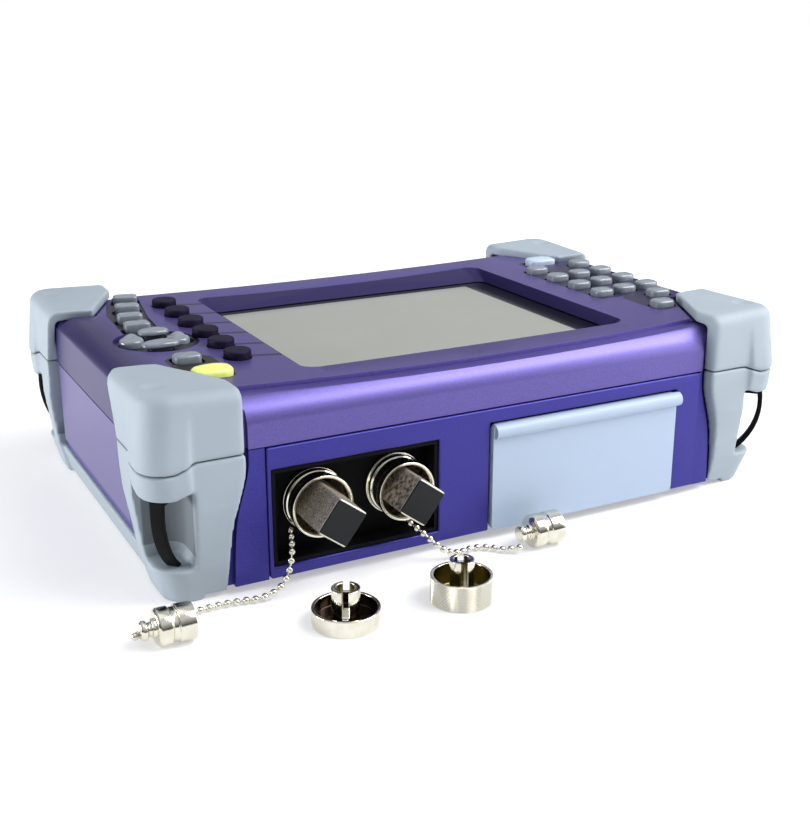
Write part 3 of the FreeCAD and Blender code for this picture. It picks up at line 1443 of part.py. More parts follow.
LEFT_ROUTE = [(-75.7, -73.6, 17.2), (-77.6, -80.4, 15.2), (-80.2, -85.4, 10.0), (-83.8, -87.2, 4.0),
              (-90.2, -87.2, 1.4), (-98.0, -85.2, 1.3), (-107.0, -84.6, 1.3), (-116.0, -86.0, 1.3),
              (-125.0, -88.4, 1.3), (-132.0, -91.6, 1.5), (-134.9, -97.0, 4.0)]
RIGHT_ROUTE = [(-34.4, -74.2, 13.0), (-32.9, -80.8, 11.6), (-29.6, -85.8, 8.2), (-25.2, -88.0, 3.6),
               (-19.2, -87.0, 1.3), (-13.0, -85.2, 1.3), (-7.4, -87.6, 1.3), (-3.8, -92.8, 1.3),
               (1.2, -95.7, 2.9)]
tube("chain_left", LEFT_ROUTE, size("bead"))
tube("chain_right", RIGHT_ROUTE, size("bead"))

# ---------------------------------------------------------------- finish
doc.recompute()
bad = []
for obj in doc.Objects:
    for word in obj.State:
        if word in ("Invalid", "Error"):
            bad.append((obj.Name, word))
for node, obj in parts.items():
    if obj.Shape.isNull() or not obj.Shape.isValid():
        bad.append((node, "shape"))
    count = len(obj.Shape.Solids)
    wanted = 4 if node in ("strap_bars", "housing_screws") else 1
    if count != wanted:
        bad.append((node, f"{count} solids"))
if bad:
    print("NOT GOOD", bad)
os.makedirs("parts", exist_ok=True)
for node, obj in parts.items():
    obj.Shape.exportStep("parts/" + node + ".step")
print(len(parts), "parts")
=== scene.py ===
import math

import bmesh
import bpy
import numpy as np
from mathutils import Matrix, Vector


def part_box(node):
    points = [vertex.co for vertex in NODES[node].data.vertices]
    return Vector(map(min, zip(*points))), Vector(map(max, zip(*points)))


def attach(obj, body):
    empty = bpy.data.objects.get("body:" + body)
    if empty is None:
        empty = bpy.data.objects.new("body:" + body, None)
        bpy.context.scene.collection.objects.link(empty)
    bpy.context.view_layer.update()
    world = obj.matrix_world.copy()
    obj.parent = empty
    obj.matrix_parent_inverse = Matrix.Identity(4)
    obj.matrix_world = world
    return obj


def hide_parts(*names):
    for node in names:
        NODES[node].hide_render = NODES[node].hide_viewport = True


bl_info = {
    "name": "Optical time domain reflectometer",
    "version": (1, 0, 0),
    "blender": (4, 5, 0),
    "location": "View3D > Sidebar > Reflectometer",
    "description": "Finishes and fine pieces of a handheld optical fibre tester",
    "category": "Object",
}

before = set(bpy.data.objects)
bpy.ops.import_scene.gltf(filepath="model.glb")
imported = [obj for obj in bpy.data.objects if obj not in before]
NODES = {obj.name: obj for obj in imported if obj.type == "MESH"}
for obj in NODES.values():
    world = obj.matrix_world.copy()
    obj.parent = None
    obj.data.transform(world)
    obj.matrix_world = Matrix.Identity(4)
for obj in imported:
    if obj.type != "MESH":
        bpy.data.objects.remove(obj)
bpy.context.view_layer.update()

# all lengths are in metres unless a name or a note says millimetres
MM = 0.001

SOFTKEYS = [f"softkey_{i}" for i in range(1, 7)]
FUNCTION_KEYS = [f"function_key_{i}" for i in range(1, 5)]
DIGIT_KEYS = [f"digit_key_{i}" for i in range(1, 14)]
CORNER_CAPS = [n for n in NODES if n.startswith("corner_cap_")]
END_GUARDS = ["end_guard_left", "end_guard_right"]

# the deck's dish, as the case has it: full height at its ends, lower at mid-length
DECK = 0.067
DECK_SAG = 0.0025
DECK_REACH = 0.1126

# painted shade at the deck's ends, a ramp by the distance from its middle
DECK_END_SHADE = (0.1010, 0.1130, 0.0, 0.85)

# areas told apart by tone, most of them painted shade, seen from above: centre, half size, corner
# radius, softness of the edge
SUNK_AREA = ((-0.0940, 0.0220), (0.0150, 0.0440), 0.0001, 0.00005)
ESCAPE_FIELD = ((-0.0932, -0.0430), (0.0085, 0.0150), 0.0045, 0.0005)
DIGIT_FIELDS = (((0.0990, 0.0050), (0.0172, 0.0310), 0.0050, 0.0005),
                ((0.1006, -0.0390), (0.0105, 0.0135), 0.0050, 0.0005),
                ((0.0974, 0.0426), (0.0085, 0.0062), 0.0030, 0.0005))
LINE_AREA = ((-0.0674, 0.0055), (0.0062, 0.0460), 0.0001, 0.00005)
WELL_AREA = ((0.00425, -0.0005), (0.0672, 0.0572), 0.0055, 0.0006)
# the panel stops short on the right, so the black there is partly painted shade
PANEL_AREA = ((0.0015, -0.0012), (0.0568, 0.04315), 0.0008, 0.0003)
POCKET_AREA = ((0.1105, 0.0670), (0.0110, 0.0125), 0.0005, 0.0008)

# heights: the sunk fields' floor and how near to it they end, the least height of the deck, how far
# below the deck its well begins, the strap pockets' middle and half
SUNK_FLOOR = 0.06546
SUNK_NEAR = 0.00012
DECK_FROM = 0.0632
WELL_DROP = 0.0002
POCKET_MIDDLE = 0.0267
POCKET_HALF = 0.0102

# how strongly the digit fields and the pockets take their painted shade
FIELD_SHADE_SHARE = 0.8
POCKET_SHADE_SHARE = 0.85

# lead lines: where the first begins, their slant, half their pitch and half their width
LINE_START = (-0.0712, 0.047)
LINE_SLANT = 0.22
LINE_HALF_PITCH = 0.00825
LINE_HALF_WIDTH = 0.0011

# the middle of a noise's range, drawn out to the whole
NOISE_RANGE = (0.35, 0.65, 0.0, 1.0)

# the knurls' count round the adapter, and the phase in radians that they gain for each metre up
KNURLS = 60.0
KNURL_RISE = 6000.0

# square dust plugs: height of their middle, half size, turn, back end, and how far behind the
# face the plated sleeve begins
PORT_HEIGHT = 0.0252
PLUG_HALF = (0.0065, 0.0057)
PLUG_TURN = math.radians(53)
PLUG_BACK = -0.0666
SLEEVE_STEP = 0.0008

# the plugs' painted highlights on their edges: half the sleeve's lip, the rim's depth and width;
# and how metallic the sleeve is
LIP_GLINT_HALF = 0.00022
RIM_GLINT_DEPTH = 0.0003
RIM_GLINT_WIDTH = 0.0005
SLEEVE_METAL = 0.75

# modifiers and turned pieces
WELD_GAP = 0.00001
EDGE_ANGLE = math.radians(32)
SMOOTH_ROUNDS = 4
TURN_SEGMENTS = 96
EASED_MM = 0.22

# keys: rows over the rim and the crown, the skirt's depth, an overhanging head's underside below
# the plain body's top, and its edge and inset
RIM_ROWS = 6
CROWN_ROWS = 7
KEY_SKIRT = 0.0052
HEAD_UNDER = 0.0007
HEAD_EDGE = 0.0004
HEAD_INSET = 0.94

# bead and wire grids of the chains, and the wire's radius
BEAD_ROWS = 9
BEAD_COLUMNS = 14
WIRE_SIDES = 6
WIRE_RADIUS = 0.00035

# route points of the two bead chains
LEFT_ROUTE = [(-0.0757, -0.0736, 0.0172), (-0.0776, -0.0804, 0.0152), (-0.0802, -0.0854, 0.0100),
              (-0.0838, -0.0872, 0.0040), (-0.0902, -0.0872, 0.0014), (-0.0980, -0.0852, 0.0013),
              (-0.1070, -0.0846, 0.0013), (-0.1160, -0.0860, 0.0013), (-0.1250, -0.0884, 0.0013),
              (-0.1320, -0.0916, 0.0015), (-0.1349, -0.0970, 0.0040)]
RIGHT_ROUTE = [(-0.0344, -0.0742, 0.0130), (-0.0329, -0.0808, 0.0116), (-0.0296, -0.0858, 0.0082),
               (-0.0252, -0.0880, 0.0036), (-0.0192, -0.0870, 0.0013), (-0.0130, -0.0852, 0.0013),
               (-0.0074, -0.0876, 0.0013), (-0.0038, -0.0928, 0.0013), (0.0012, -0.0957, 0.0029)]

# half-section of a chain's dust cap in millimetres, (radius, distance from its boss): a small
# boss, a shouldered barrel and an open hollow end
CAP_SECTION = [(0, 0), (2.4, 0), (3.0, 0.8), (3.0, 1.8), (2.2, 2.3), (2.2, 3.2), (3.0, 3.6),
               (3.0, 4.5), (5.1, 4.5), (5.9, 5.3), (5.9, 8.6), (5.3, 9.0), (5.3, 10.6), (5.9, 11.0),
               (5.9, 16.0), (4.7, 16.0), (4.7, 7.0), (0, 7.0)]

# lamps: name, place, target, width, height, power in watts
LAMPS = (
    ("overhead", (-0.25, -0.10, 1.0), (-0.03, 0.0, 0.03), 0.8, 0.8, 1.2),
    ("shoulder_strip", (0.70, -0.38, 0.76), (0.58, -0.06, 0.0), 1.1, 0.5, 15.0),
    ("left_side", (-0.70, 0.16, 0.12), (-0.12, 0.08, 0.03), 0.4, 0.15, 4.2),
    ("front_right", (1.0, -0.70, 0.36), (0.10, -0.05, 0.03), 0.6, 0.6, 4.8),
    ("back_strip", (0.45, 1.10, 0.36), (0.0, 0.0, 0.06), 0.9, 0.12, 0.22),
)

# ramps as (from, to, low, high): the floor's glow by distance, the world's by height and front
FLOOR_GLOW = (0.25, 0.9, 0.40, 1.0)
SKY_HEIGHT = (0.15, 0.65, 0.08, 0.72)
SKY_FRONT = (0.3, -0.6, 0.0, 0.03)
FLOOR_BOUNCE = 0.16
FLOOR_HALF = 6.0
# the floor's paper as it lights the object, and as it is seen
PAPER_THROWN = (0.86, 0.86, 0.87, 1.0)
PAPER_SHOWN = (0.55, 0.55, 0.56, 1.0)
WHITE = (1, 1, 1, 1)

# the camera: where it stands, its turn from +Y towards +X, its tilt downwards, its lens
CAMERA_PLACE = (-0.2132, -0.4148, 0.1810)
CAMERA_TURN = math.radians(27.84)
CAMERA_TILT = math.radians(18.44)
CAMERA_LENS_MM = 54.30


# ------------------------------------------------------------------ colour and node helpers
def linear(hex_text):
    """sRGB hex text to linear RGBA."""
    value = hex_text.lstrip("#")
    rgb = np.array([int(value[i:i + 2], 16) for i in (0, 2, 4)]) / 255.0
    low = rgb / 12.92
    high = ((rgb + 0.055) / 1.055) ** 2.4
    return tuple(np.where(rgb <= 0.04045, low, high)) + (1.0,)


def add_node(tree, kind, values=None, links=None, **settings):
    """Adds a node with its settings, its unlinked values and the links into it."""
    made = tree.nodes.new(kind)
    for name, value in settings.items():
        setattr(made, name, value)
    for key, value in (values or {}).items():
        made.inputs[key].default_value = value
    for key, source in (links or {}).items():
        tree.links.new(source, made.inputs[key])
    return made


def cleared_tree(owner):
    """The emptied node tree of a material or a world."""
    owner.use_nodes = True
    owner.node_tree.nodes.clear()
    return owner.node_tree


def start_material(name, **shader):
    """A material with its principled shader set, and the object coordinates to pattern it by.

    Underscores in the shader's setting names stand for spaces."""
    material = bpy.data.materials.new(name)
    tree = cleared_tree(material)
    surface = add_node(tree, "ShaderNodeBsdfPrincipled",
                       values={key.replace("_", " "): value for key, value in shader.items()})
    add_node(tree, "ShaderNodeOutputMaterial", links={"Surface": surface.outputs[0]})
    coords = add_node(tree, "ShaderNodeTexCoord")
    return material, tree, surface, coords.outputs["Object"]


def maths(tree, kind, *terms):
    """A Math node whose inputs are numbers or sockets."""
    values = {}
    links = {}
    for index, term in enumerate(terms):
        if isinstance(term, (int, float)):
            values[index] = float(term)
        else:
            links[index] = term
    return add_node(tree, "ShaderNodeMath", values=values, links=links, operation=kind).outputs[0]


def chained(tree, kind, first, *others):
    """One two-term Math operation carried along a row of terms."""
    for term in others:
        first = maths(tree, kind, first, term)
    return first


def ramp(tree, signal, start, end, low, high):
    """A clamped straight ramp: low where the signal is at start, high where it is at end."""
    made = add_node(tree, "ShaderNodeMapRange", links={"Value": signal}, values={
        "From Min": start, "From Max": end, "To Min": low, "To Max": high})
    return made.outputs[0]


def blend(tree, mask, under, over):
    """Colour mix, under where the mask is zero and over where it is one; each a hex or a socket."""
    values = {}
    links = {0: mask}
    for index, colour in ((6, under), (7, over)):
        if isinstance(colour, str):
            values[index] = linear(colour)
        else:
            links[index] = colour
    return add_node(tree, "ShaderNodeMix", values=values, links=links, data_type="RGBA").outputs[2]


def axes(tree, coords):
    """The three coordinates as signals of their own."""
    return tuple(add_node(tree, "ShaderNodeSeparateXYZ", links={0: coords}).outputs)


def distance(tree, signal, middle):
    """How far a signal is from a value."""
    return maths(tree, "ABSOLUTE", maths(tree, "SUBTRACT", signal, middle))


def span(tree, dx, dy):
    """Length of a vector in plan."""
    squares = [maths(tree, "MULTIPLY", side, side) for side in (dx, dy)]
    return maths(tree, "SQRT", maths(tree, "ADD", *squares))


def inside_box(tree, x, y, area):
    """One inside a rounded rectangle in plan, falling to zero over its soft edge."""
    centre, half, corner, soft = area
    past = []
    for place, middle, size in zip((x, y), centre, half):
        beyond = maths(tree, "SUBTRACT", distance(tree, place, middle), size - corner)
        past.append(maths(tree, "MAXIMUM", beyond, 0.0))
    return ramp(tree, span(tree, *past), corner - soft, corner, 1.0, 0.0)


def grain(tree, coords, grain_mm, detail=2.0):
    """Noise signal whose grain is given in millimetres."""
    noise = add_node(tree, "ShaderNodeTexNoise", links={"Vector": coords},
                     values={"Scale": 1.0 / (grain_mm * MM), "Detail": detail})
    return noise.outputs[0]


def mottled(tree, coords, dark, light, grain_mm, detail=3.0):
    """Two close colours mixed by noise whose grain is given in millimetres."""
    share = ramp(tree, grain(tree, coords, grain_mm, detail), *NOISE_RANGE)
    return blend(tree, share, dark, light)


def bumped(tree, surface, height, depth_mm, strength):
    """Bump from a height signal, its depth in millimetres."""
    bump = add_node(tree, "ShaderNodeBump", links={"Height": height},
                    values={"Strength": strength, "Distance": depth_mm * MM})
    tree.links.new(bump.outputs[0], surface.inputs["Normal"])


def assign(material, *names):
    """Gives CAD nodes a material."""
    for name in names:
        mesh = NODES[name].data
        mesh.materials.clear()
        mesh.materials.append(material)


# ------------------------------------------------------------------ mesh helpers
def link_mesh(name, vertices, faces, material, smooth=True):
    """A mesh object from whole arrays, at the origin."""
    mesh = bpy.data.meshes.new(name)
    mesh.from_pydata(vertices.tolist(), [], faces.tolist())
    mesh.materials.append(material)
    mesh.polygons.foreach_set("use_smooth", np.full(len(mesh.polygons), smooth))
    mesh.update()
    obj = bpy.data.objects.new(name, mesh)
    bpy.context.scene.collection.objects.link(obj)
    return obj


def grid_faces(rows, columns):
    """Quads of a rows-by-columns grid of points whose last column joins its first."""
    r = np.arange(rows - 1)[:, None] * columns
    c = np.arange(columns)[None, :]
    n = (c + 1) % columns
    return np.stack([r + c, r + n, r + columns + n, r + columns + c], -1).reshape(-1, 4)


def tidy_mesh(obj):
    """Merges doubled points and turns every face outwards."""
    work = bmesh.new()
    work.from_mesh(obj.data)
    bmesh.ops.remove_doubles(work, verts=work.verts, dist=1e-6)
    bmesh.ops.recalc_face_normals(work, faces=work.faces)
    work.to_mesh(obj.data)
    work.free()


def turned(name, profile, centre, axis, material):
    """Surface of revolution: each (radius, height) of the profile is carried round a level axis.

    A profile that begins and ends on the axis closes itself; another is joined end to end."""
    axis = np.array(axis, float)
    up = np.array((0.0, 0.0, 1.0))
    across = np.cross(axis, up)
    if profile[0][0] > 1e-9:
        profile = np.vstack([profile, profile[:1]])
    angle = np.linspace(0, 2 * np.pi, TURN_SEGMENTS, endpoint=False)
    ring = np.cos(angle)[:, None] * up + np.sin(angle)[:, None] * across
    points = profile[:, None, 0:1] * ring[None] + profile[:, None, 1:2] * axis + centre
    faces = grid_faces(len(profile), TURN_SEGMENTS)
    obj = link_mesh(name, points.reshape(-1, 3), faces, material)
    tidy_mesh(obj)
    return obj


def rounded_profile(corners, radius, steps=3):
    """Profile whose inner corners become short quadratic curves of about the given radius.

    A curve takes less than half of either side, so that neighbours never meet."""
    out = [corners[0]]
    for before, corner, after in zip(corners, corners[1:], corners[2:]):
        a = before - corner
        b = after - corner
        cut = min(radius, 0.45 * np.linalg.norm(a), 0.45 * np.linalg.norm(b))
        first = corner + a / np.linalg.norm(a) * cut
        last = corner + b / np.linalg.norm(b) * cut
        t = np.linspace(0, 1, steps + 1)[:, None]
        out.extend((1 - t) ** 2 * first + 2 * t * (1 - t) * corner + t ** 2 * last)
    out.append(corners[-1])
    return np.array(out)


def fitting(node, body, corners, centre, axis, material):
    """One turned metal piece from its half-section in millimetres, in the place of a CAD node."""
    profile = rounded_profile(np.array(corners, float) * MM, EASED_MM * MM)
    piece = turned(node + "_turned", profile, np.array(centre) * MM, axis, material)
    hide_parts(node)
    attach(piece, body)
    return piece


def welded(name):
    """A CAD node with its doubled points merged by a modifier; its own mesh stays as it is."""
    obj = NODES[name]
    obj.modifiers.new("weld", "WELD").merge_threshold = WELD_GAP
    return obj


def softened(name, width, segments=2):
    """Rounds a CAD node's edges by modifiers: weld, bevel, weighted normals."""
    obj = welded(name)
    bevel = obj.modifiers.new("edge", "BEVEL")
    bevel.width = width
    bevel.segments = segments
    bevel.limit_method = "ANGLE"
    bevel.angle_limit = EDGE_ANGLE
    bevel.use_clamp_overlap = True
    level = obj.modifiers.new("level", "WEIGHTED_NORMAL")
    level.mode = "FACE_AREA_WITH_ANGLE"
    level.weight = 80


def moulded(name, grid):
    """Rounds a CAD node all over, as soft rubber leaves its mould: remeshed finely, smoothed."""
    obj = welded(name)
    mesh = obj.modifiers.new("fine", "REMESH")
    mesh.mode = "VOXEL"
    mesh.voxel_size = grid
    mesh.use_smooth_shade = True
    soft = obj.modifiers.new("round", "SMOOTH")
    soft.factor = 0.5
    soft.iterations = SMOOTH_ROUNDS


# ------------------------------------------------------------------ materials
def case_paint(name, dark, light, roughness, metallic=0.5):
    """Sprayed metallic lacquer on plastic: fine flake gives a satin sheen, a coat a soft gloss."""
    material, tree, surface, coords = start_material(
        name, Roughness=roughness, Metallic=metallic, Coat_Weight=0.12, Coat_Roughness=0.3)
    colour = mottled(tree, coords, dark, light, 0.5)
    tree.links.new(colour, surface.inputs["Base Color"])
    bumped(tree, surface, grain(tree, coords, 0.35), 0.006, 0.4)
    return material, tree, surface, coords, colour


def elastomer(name, dark, light, roughness, pocket_shade):
    """Moulded thermoplastic rubber: matte, with an eroded grain; painted shade inside the strap
    pockets.
    """
    material, tree, surface, coords = start_material(name, Roughness=roughness, IOR=1.5)
    plain = mottled(tree, coords, dark, light, 30.0)
    x, y, z = axes(tree, coords)
    # one area serves all four corners, since it is read on both sides of both middles
    x, y = maths(tree, "ABSOLUTE", x), maths(tree, "ABSOLUTE", y)
    # painted shade inside the strap pockets, for the shadow that falls there
    inner = inside_box(tree, x, y, POCKET_AREA)
    level = maths(tree, "LESS_THAN", distance(tree, z, POCKET_MIDDLE), POCKET_HALF)
    inner = maths(tree, "MULTIPLY", inner, maths(tree, "MULTIPLY", level, POCKET_SHADE_SHARE))
    tree.links.new(blend(tree, inner, plain, pocket_shade), surface.inputs["Base Color"])
    bumped(tree, surface, grain(tree, coords, 0.35), 0.02, 0.6)
    return material


def gloss_rubber(name, dark, light, roughness, sheen):
    """Silicone key under a hard clear coat: smooth and bright at its crown."""
    material, tree, surface, coords = start_material(
        name, Roughness=roughness, IOR=1.46, Specular_IOR_Level=sheen)
    tree.links.new(mottled(tree, coords, dark, light, 2.0), surface.inputs["Base Color"])
    return material


def nickel_plate(name, dark, light):
    """Bright nickel on turned brass: a clear sheen, slightly warm, hardly marked."""
    material, tree, surface, coords = start_material(name, Roughness=0.13, Metallic=1.0)
    colour = mottled(tree, coords, dark, light, 4.0)
    tree.links.new(colour, surface.inputs["Base Color"])
    return material, tree, surface, coords, colour


def cup_nickel(name, centre, radii, height, inside, knurled):
    """Nickel whose plain cup is painted dark inside as shade and whose knurled cup shows brass
    inside; a knurled one has a fine diagonal cut on its outer wall.

    The cup's hollow lies between its two radii and below its height."""
    c = colours()
    material, tree, surface, coords, plain = nickel_plate(name, c.nickel_dark, c.nickel)
    x, y, z = axes(tree, coords)
    dx = maths(tree, "SUBTRACT", x, centre[0])
    dy = maths(tree, "SUBTRACT", y, centre[1])
    away = span(tree, dx, dy)
    hollow = chained(tree, "MULTIPLY", maths(tree, "LESS_THAN", away, radii[0]),
                     maths(tree, "LESS_THAN", z, height),
                     maths(tree, "GREATER_THAN", away, radii[1]))
    # the hollow's colour: painted shade in the plain cup, brass in the knurled one
    tree.links.new(blend(tree, hollow, plain, inside), surface.inputs["Base Color"])
    if knurled:
        turn = maths(tree, "MULTIPLY", maths(tree, "ARCTAN2", dy, dx), KNURLS)
        rise = maths(tree, "MULTIPLY", z, KNURL_RISE)
        ways = [maths(tree, "SINE", maths(tree, kind, turn, rise)) for kind in ("ADD", "SUBTRACT")]
        cut = maths(tree, "MULTIPLY", maths(tree, "MAXIMUM", *ways),
                    maths(tree, "GREATER_THAN", away, radii[0]))
        bumped(tree, surface, cut, 0.12, 0.9)
    return material


def plug_rubber(name, centre_x, front, tone_mm):
    """Black rubber plug in a plated sleeve: its rim carries two painted highlights as bright wire
    edges, and the sleeve's mottle is partly painted reflection and highlight.
    """
    c = colours()
    material, tree, surface, coords = start_material(name, Roughness=0.5, Specular_IOR_Level=0.3)
    x, y, z = axes(tree, coords)
    dx = maths(tree, "SUBTRACT", x, centre_x)
    dz = maths(tree, "SUBTRACT", z, PORT_HEIGHT)
    across = maths(tree, "ABSOLUTE", maths(
        tree, "ADD", maths(tree, "MULTIPLY", dx, math.cos(PLUG_TURN)),
        maths(tree, "MULTIPLY", dz, math.sin(PLUG_TURN))))
    sleeve = front + SLEEVE_STEP
    plated = maths(tree, "GREATER_THAN", y, sleeve)
    # the sleeve's lip and the plug's rim are painted highlights, bright nickel where the edges
    # catch the light
    lip_glint = maths(tree, "LESS_THAN", distance(tree, y, sleeve), LIP_GLINT_HALF)
    rim = maths(tree, "MULTIPLY", maths(tree, "LESS_THAN", y, front + RIM_GLINT_DEPTH),
                maths(tree, "GREATER_THAN", across, PLUG_HALF[0] - RIM_GLINT_WIDTH))
    # painted highlights: the lip and the rim together
    bright = maths(tree, "MAXIMUM", lip_glint, rim)
    # the sleeve's mottle: textured plating whose light tone is a painted highlight and whose dark
    # tone is a painted reflection of the violet case
    sleeve_glint = mottled(tree, coords, c.sleeve_dark_reflection, c.sleeve_light_glint, tone_mm, 6.0)
    colour = blend(tree, bright, blend(tree, plated, c.plug, sleeve_glint), c.nickel)
    metal = maths(tree, "MAXIMUM", maths(tree, "MULTIPLY", plated, SLEEVE_METAL), bright)
    tree.links.new(colour, surface.inputs["Base Color"])
    tree.links.new(metal, surface.inputs["Metallic"])
    bumped(tree, surface, grain(tree, coords, 0.4), 0.02, 0.5)
    return material


def dull_plastic(name, dark, light, roughness=0.6, sheen=0.5):
    """Moulded ABS with an eroded texture: a flat, even tone with little sheen."""
    material, tree, surface, coords = start_material(
        name, Roughness=roughness, IOR=1.5, Specular_IOR_Level=sheen)
    tree.links.new(mottled(tree, coords, dark, light, 1.2), surface.inputs["Base Color"])
    bumped(tree, surface, grain(tree, coords, 0.4), 0.015, 0.5)
    return material


def deck_paint(c):
    """The case lacquer with painted shade in the key areas, in the display's sunk surround and
    where it rolls over at either side, and lead grooves painted dark as shade.
    """
    material, tree, surface, coords, colour = case_paint(
        "deck_lacquer", c.deck_dark, c.deck_light, c.paint_roughness, 0.65)
    x, y, z = axes(tree, coords)
    # painted shade in the key fields, standing for the dark gaps round the keys: the sunk fields on
    # the left are known by their floor's height, the others by their outlines
    sunk = maths(tree, "LESS_THAN", distance(tree, z, SUNK_FLOOR), SUNK_NEAR)
    sunk = maths(tree, "MULTIPLY", sunk, inside_box(tree, x, y, SUNK_AREA))
    top = maths(tree, "GREATER_THAN", z, DECK_FROM)
    escape = inside_box(tree, x, y, ESCAPE_FIELD)
    digits = [inside_box(tree, x, y, area) for area in DIGIT_FIELDS]
    field_shade = maths(tree, "MULTIPLY", chained(tree, "MAXIMUM", *digits), FIELD_SHADE_SHARE)
    field_shade = maths(tree, "MULTIPLY", maths(tree, "MAXIMUM", field_shade, escape), top)
    field_shade = maths(tree, "MAXIMUM", sunk, field_shade)
    # six lead lines at the softkeys' pitch, engraved grooves whose shade is painted
    slant = maths(tree, "MULTIPLY_ADD", maths(tree, "SUBTRACT", x, LINE_START[0]), LINE_SLANT, y)
    phase = maths(tree, "PINGPONG", maths(tree, "SUBTRACT", slant, LINE_START[1]), LINE_HALF_PITCH)
    lines = chained(tree, "MULTIPLY", maths(tree, "LESS_THAN", phase, LINE_HALF_WIDTH),
                    inside_box(tree, x, y, LINE_AREA), top)
    # painted shade on the display's sloping walls, which are what lies below the dished deck inside
    # its brink
    brink = maths(tree, "MULTIPLY_ADD", maths(tree, "MULTIPLY", x, x), DECK_SAG / DECK_REACH ** 2,
                  DECK - DECK_SAG - WELL_DROP)
    well_shade = maths(tree, "MULTIPLY", inside_box(tree, x, y, WELL_AREA),
                 maths(tree, "LESS_THAN", z, brink))
    # painted shade where the deck rolls over into the ends, for the dark that it reflects there
    ends = ramp(tree, maths(tree, "ABSOLUTE", x), *DECK_END_SHADE)
    for mask, shade in ((field_shade, c.key_field_shade), (lines, c.line), (well_shade, c.well_shade), (ends, c.well_shade)):
        colour = blend(tree, mask, colour, shade)
    tree.links.new(colour, surface.inputs["Base Color"])
    return material


def display_window(c):
    """Hard-coated acrylic window: a printed black border round the switched-off grey panel, widened
    on the right into painted shade.
    """
    material, tree, surface, coords = start_material("display_acrylic", Roughness=0.22, IOR=1.49)
    x, y, _ = axes(tree, coords)
    panel = inside_box(tree, x, y, PANEL_AREA)
    grey = mottled(tree, coords, c.panel_dark, c.panel_light, 40.0)
    tree.links.new(blend(tree, panel, c.border, grey), surface.inputs["Base Color"])
    return material


def board_material(c):
    """Solder mask over glass epoxy, with copper lands showing through."""
    material, tree, surface, coords = start_material("solder_mask", Roughness=0.4, IOR=1.5)
    cells = add_node(tree, "ShaderNodeTexVoronoi", values={"Scale": 220.0},
                     links={"Vector": coords})
    land = maths(tree, "LESS_THAN", cells.outputs["Distance"], 0.18)
    tree.links.new(blend(tree, land, c.board_mask, c.board_land), surface.inputs["Base Color"])
    return material


def brushed_metal(name, dark, light):
    """Brushed aluminium and steel: a broad, even grey sheen."""
    material, tree, surface, coords = start_material(name, Roughness=0.35, Metallic=1.0)
    tree.links.new(mottled(tree, coords, dark, light, 3.0), surface.inputs["Base Color"])
    return material


# ------------------------------------------------------------------ settings
def colour_text(label, default, note):
    return bpy.props.StringProperty(name=label, default=default, description=note)


def length(label, default, note):
    return bpy.props.FloatProperty(name=label, default=default, unit="LENGTH", description=note)


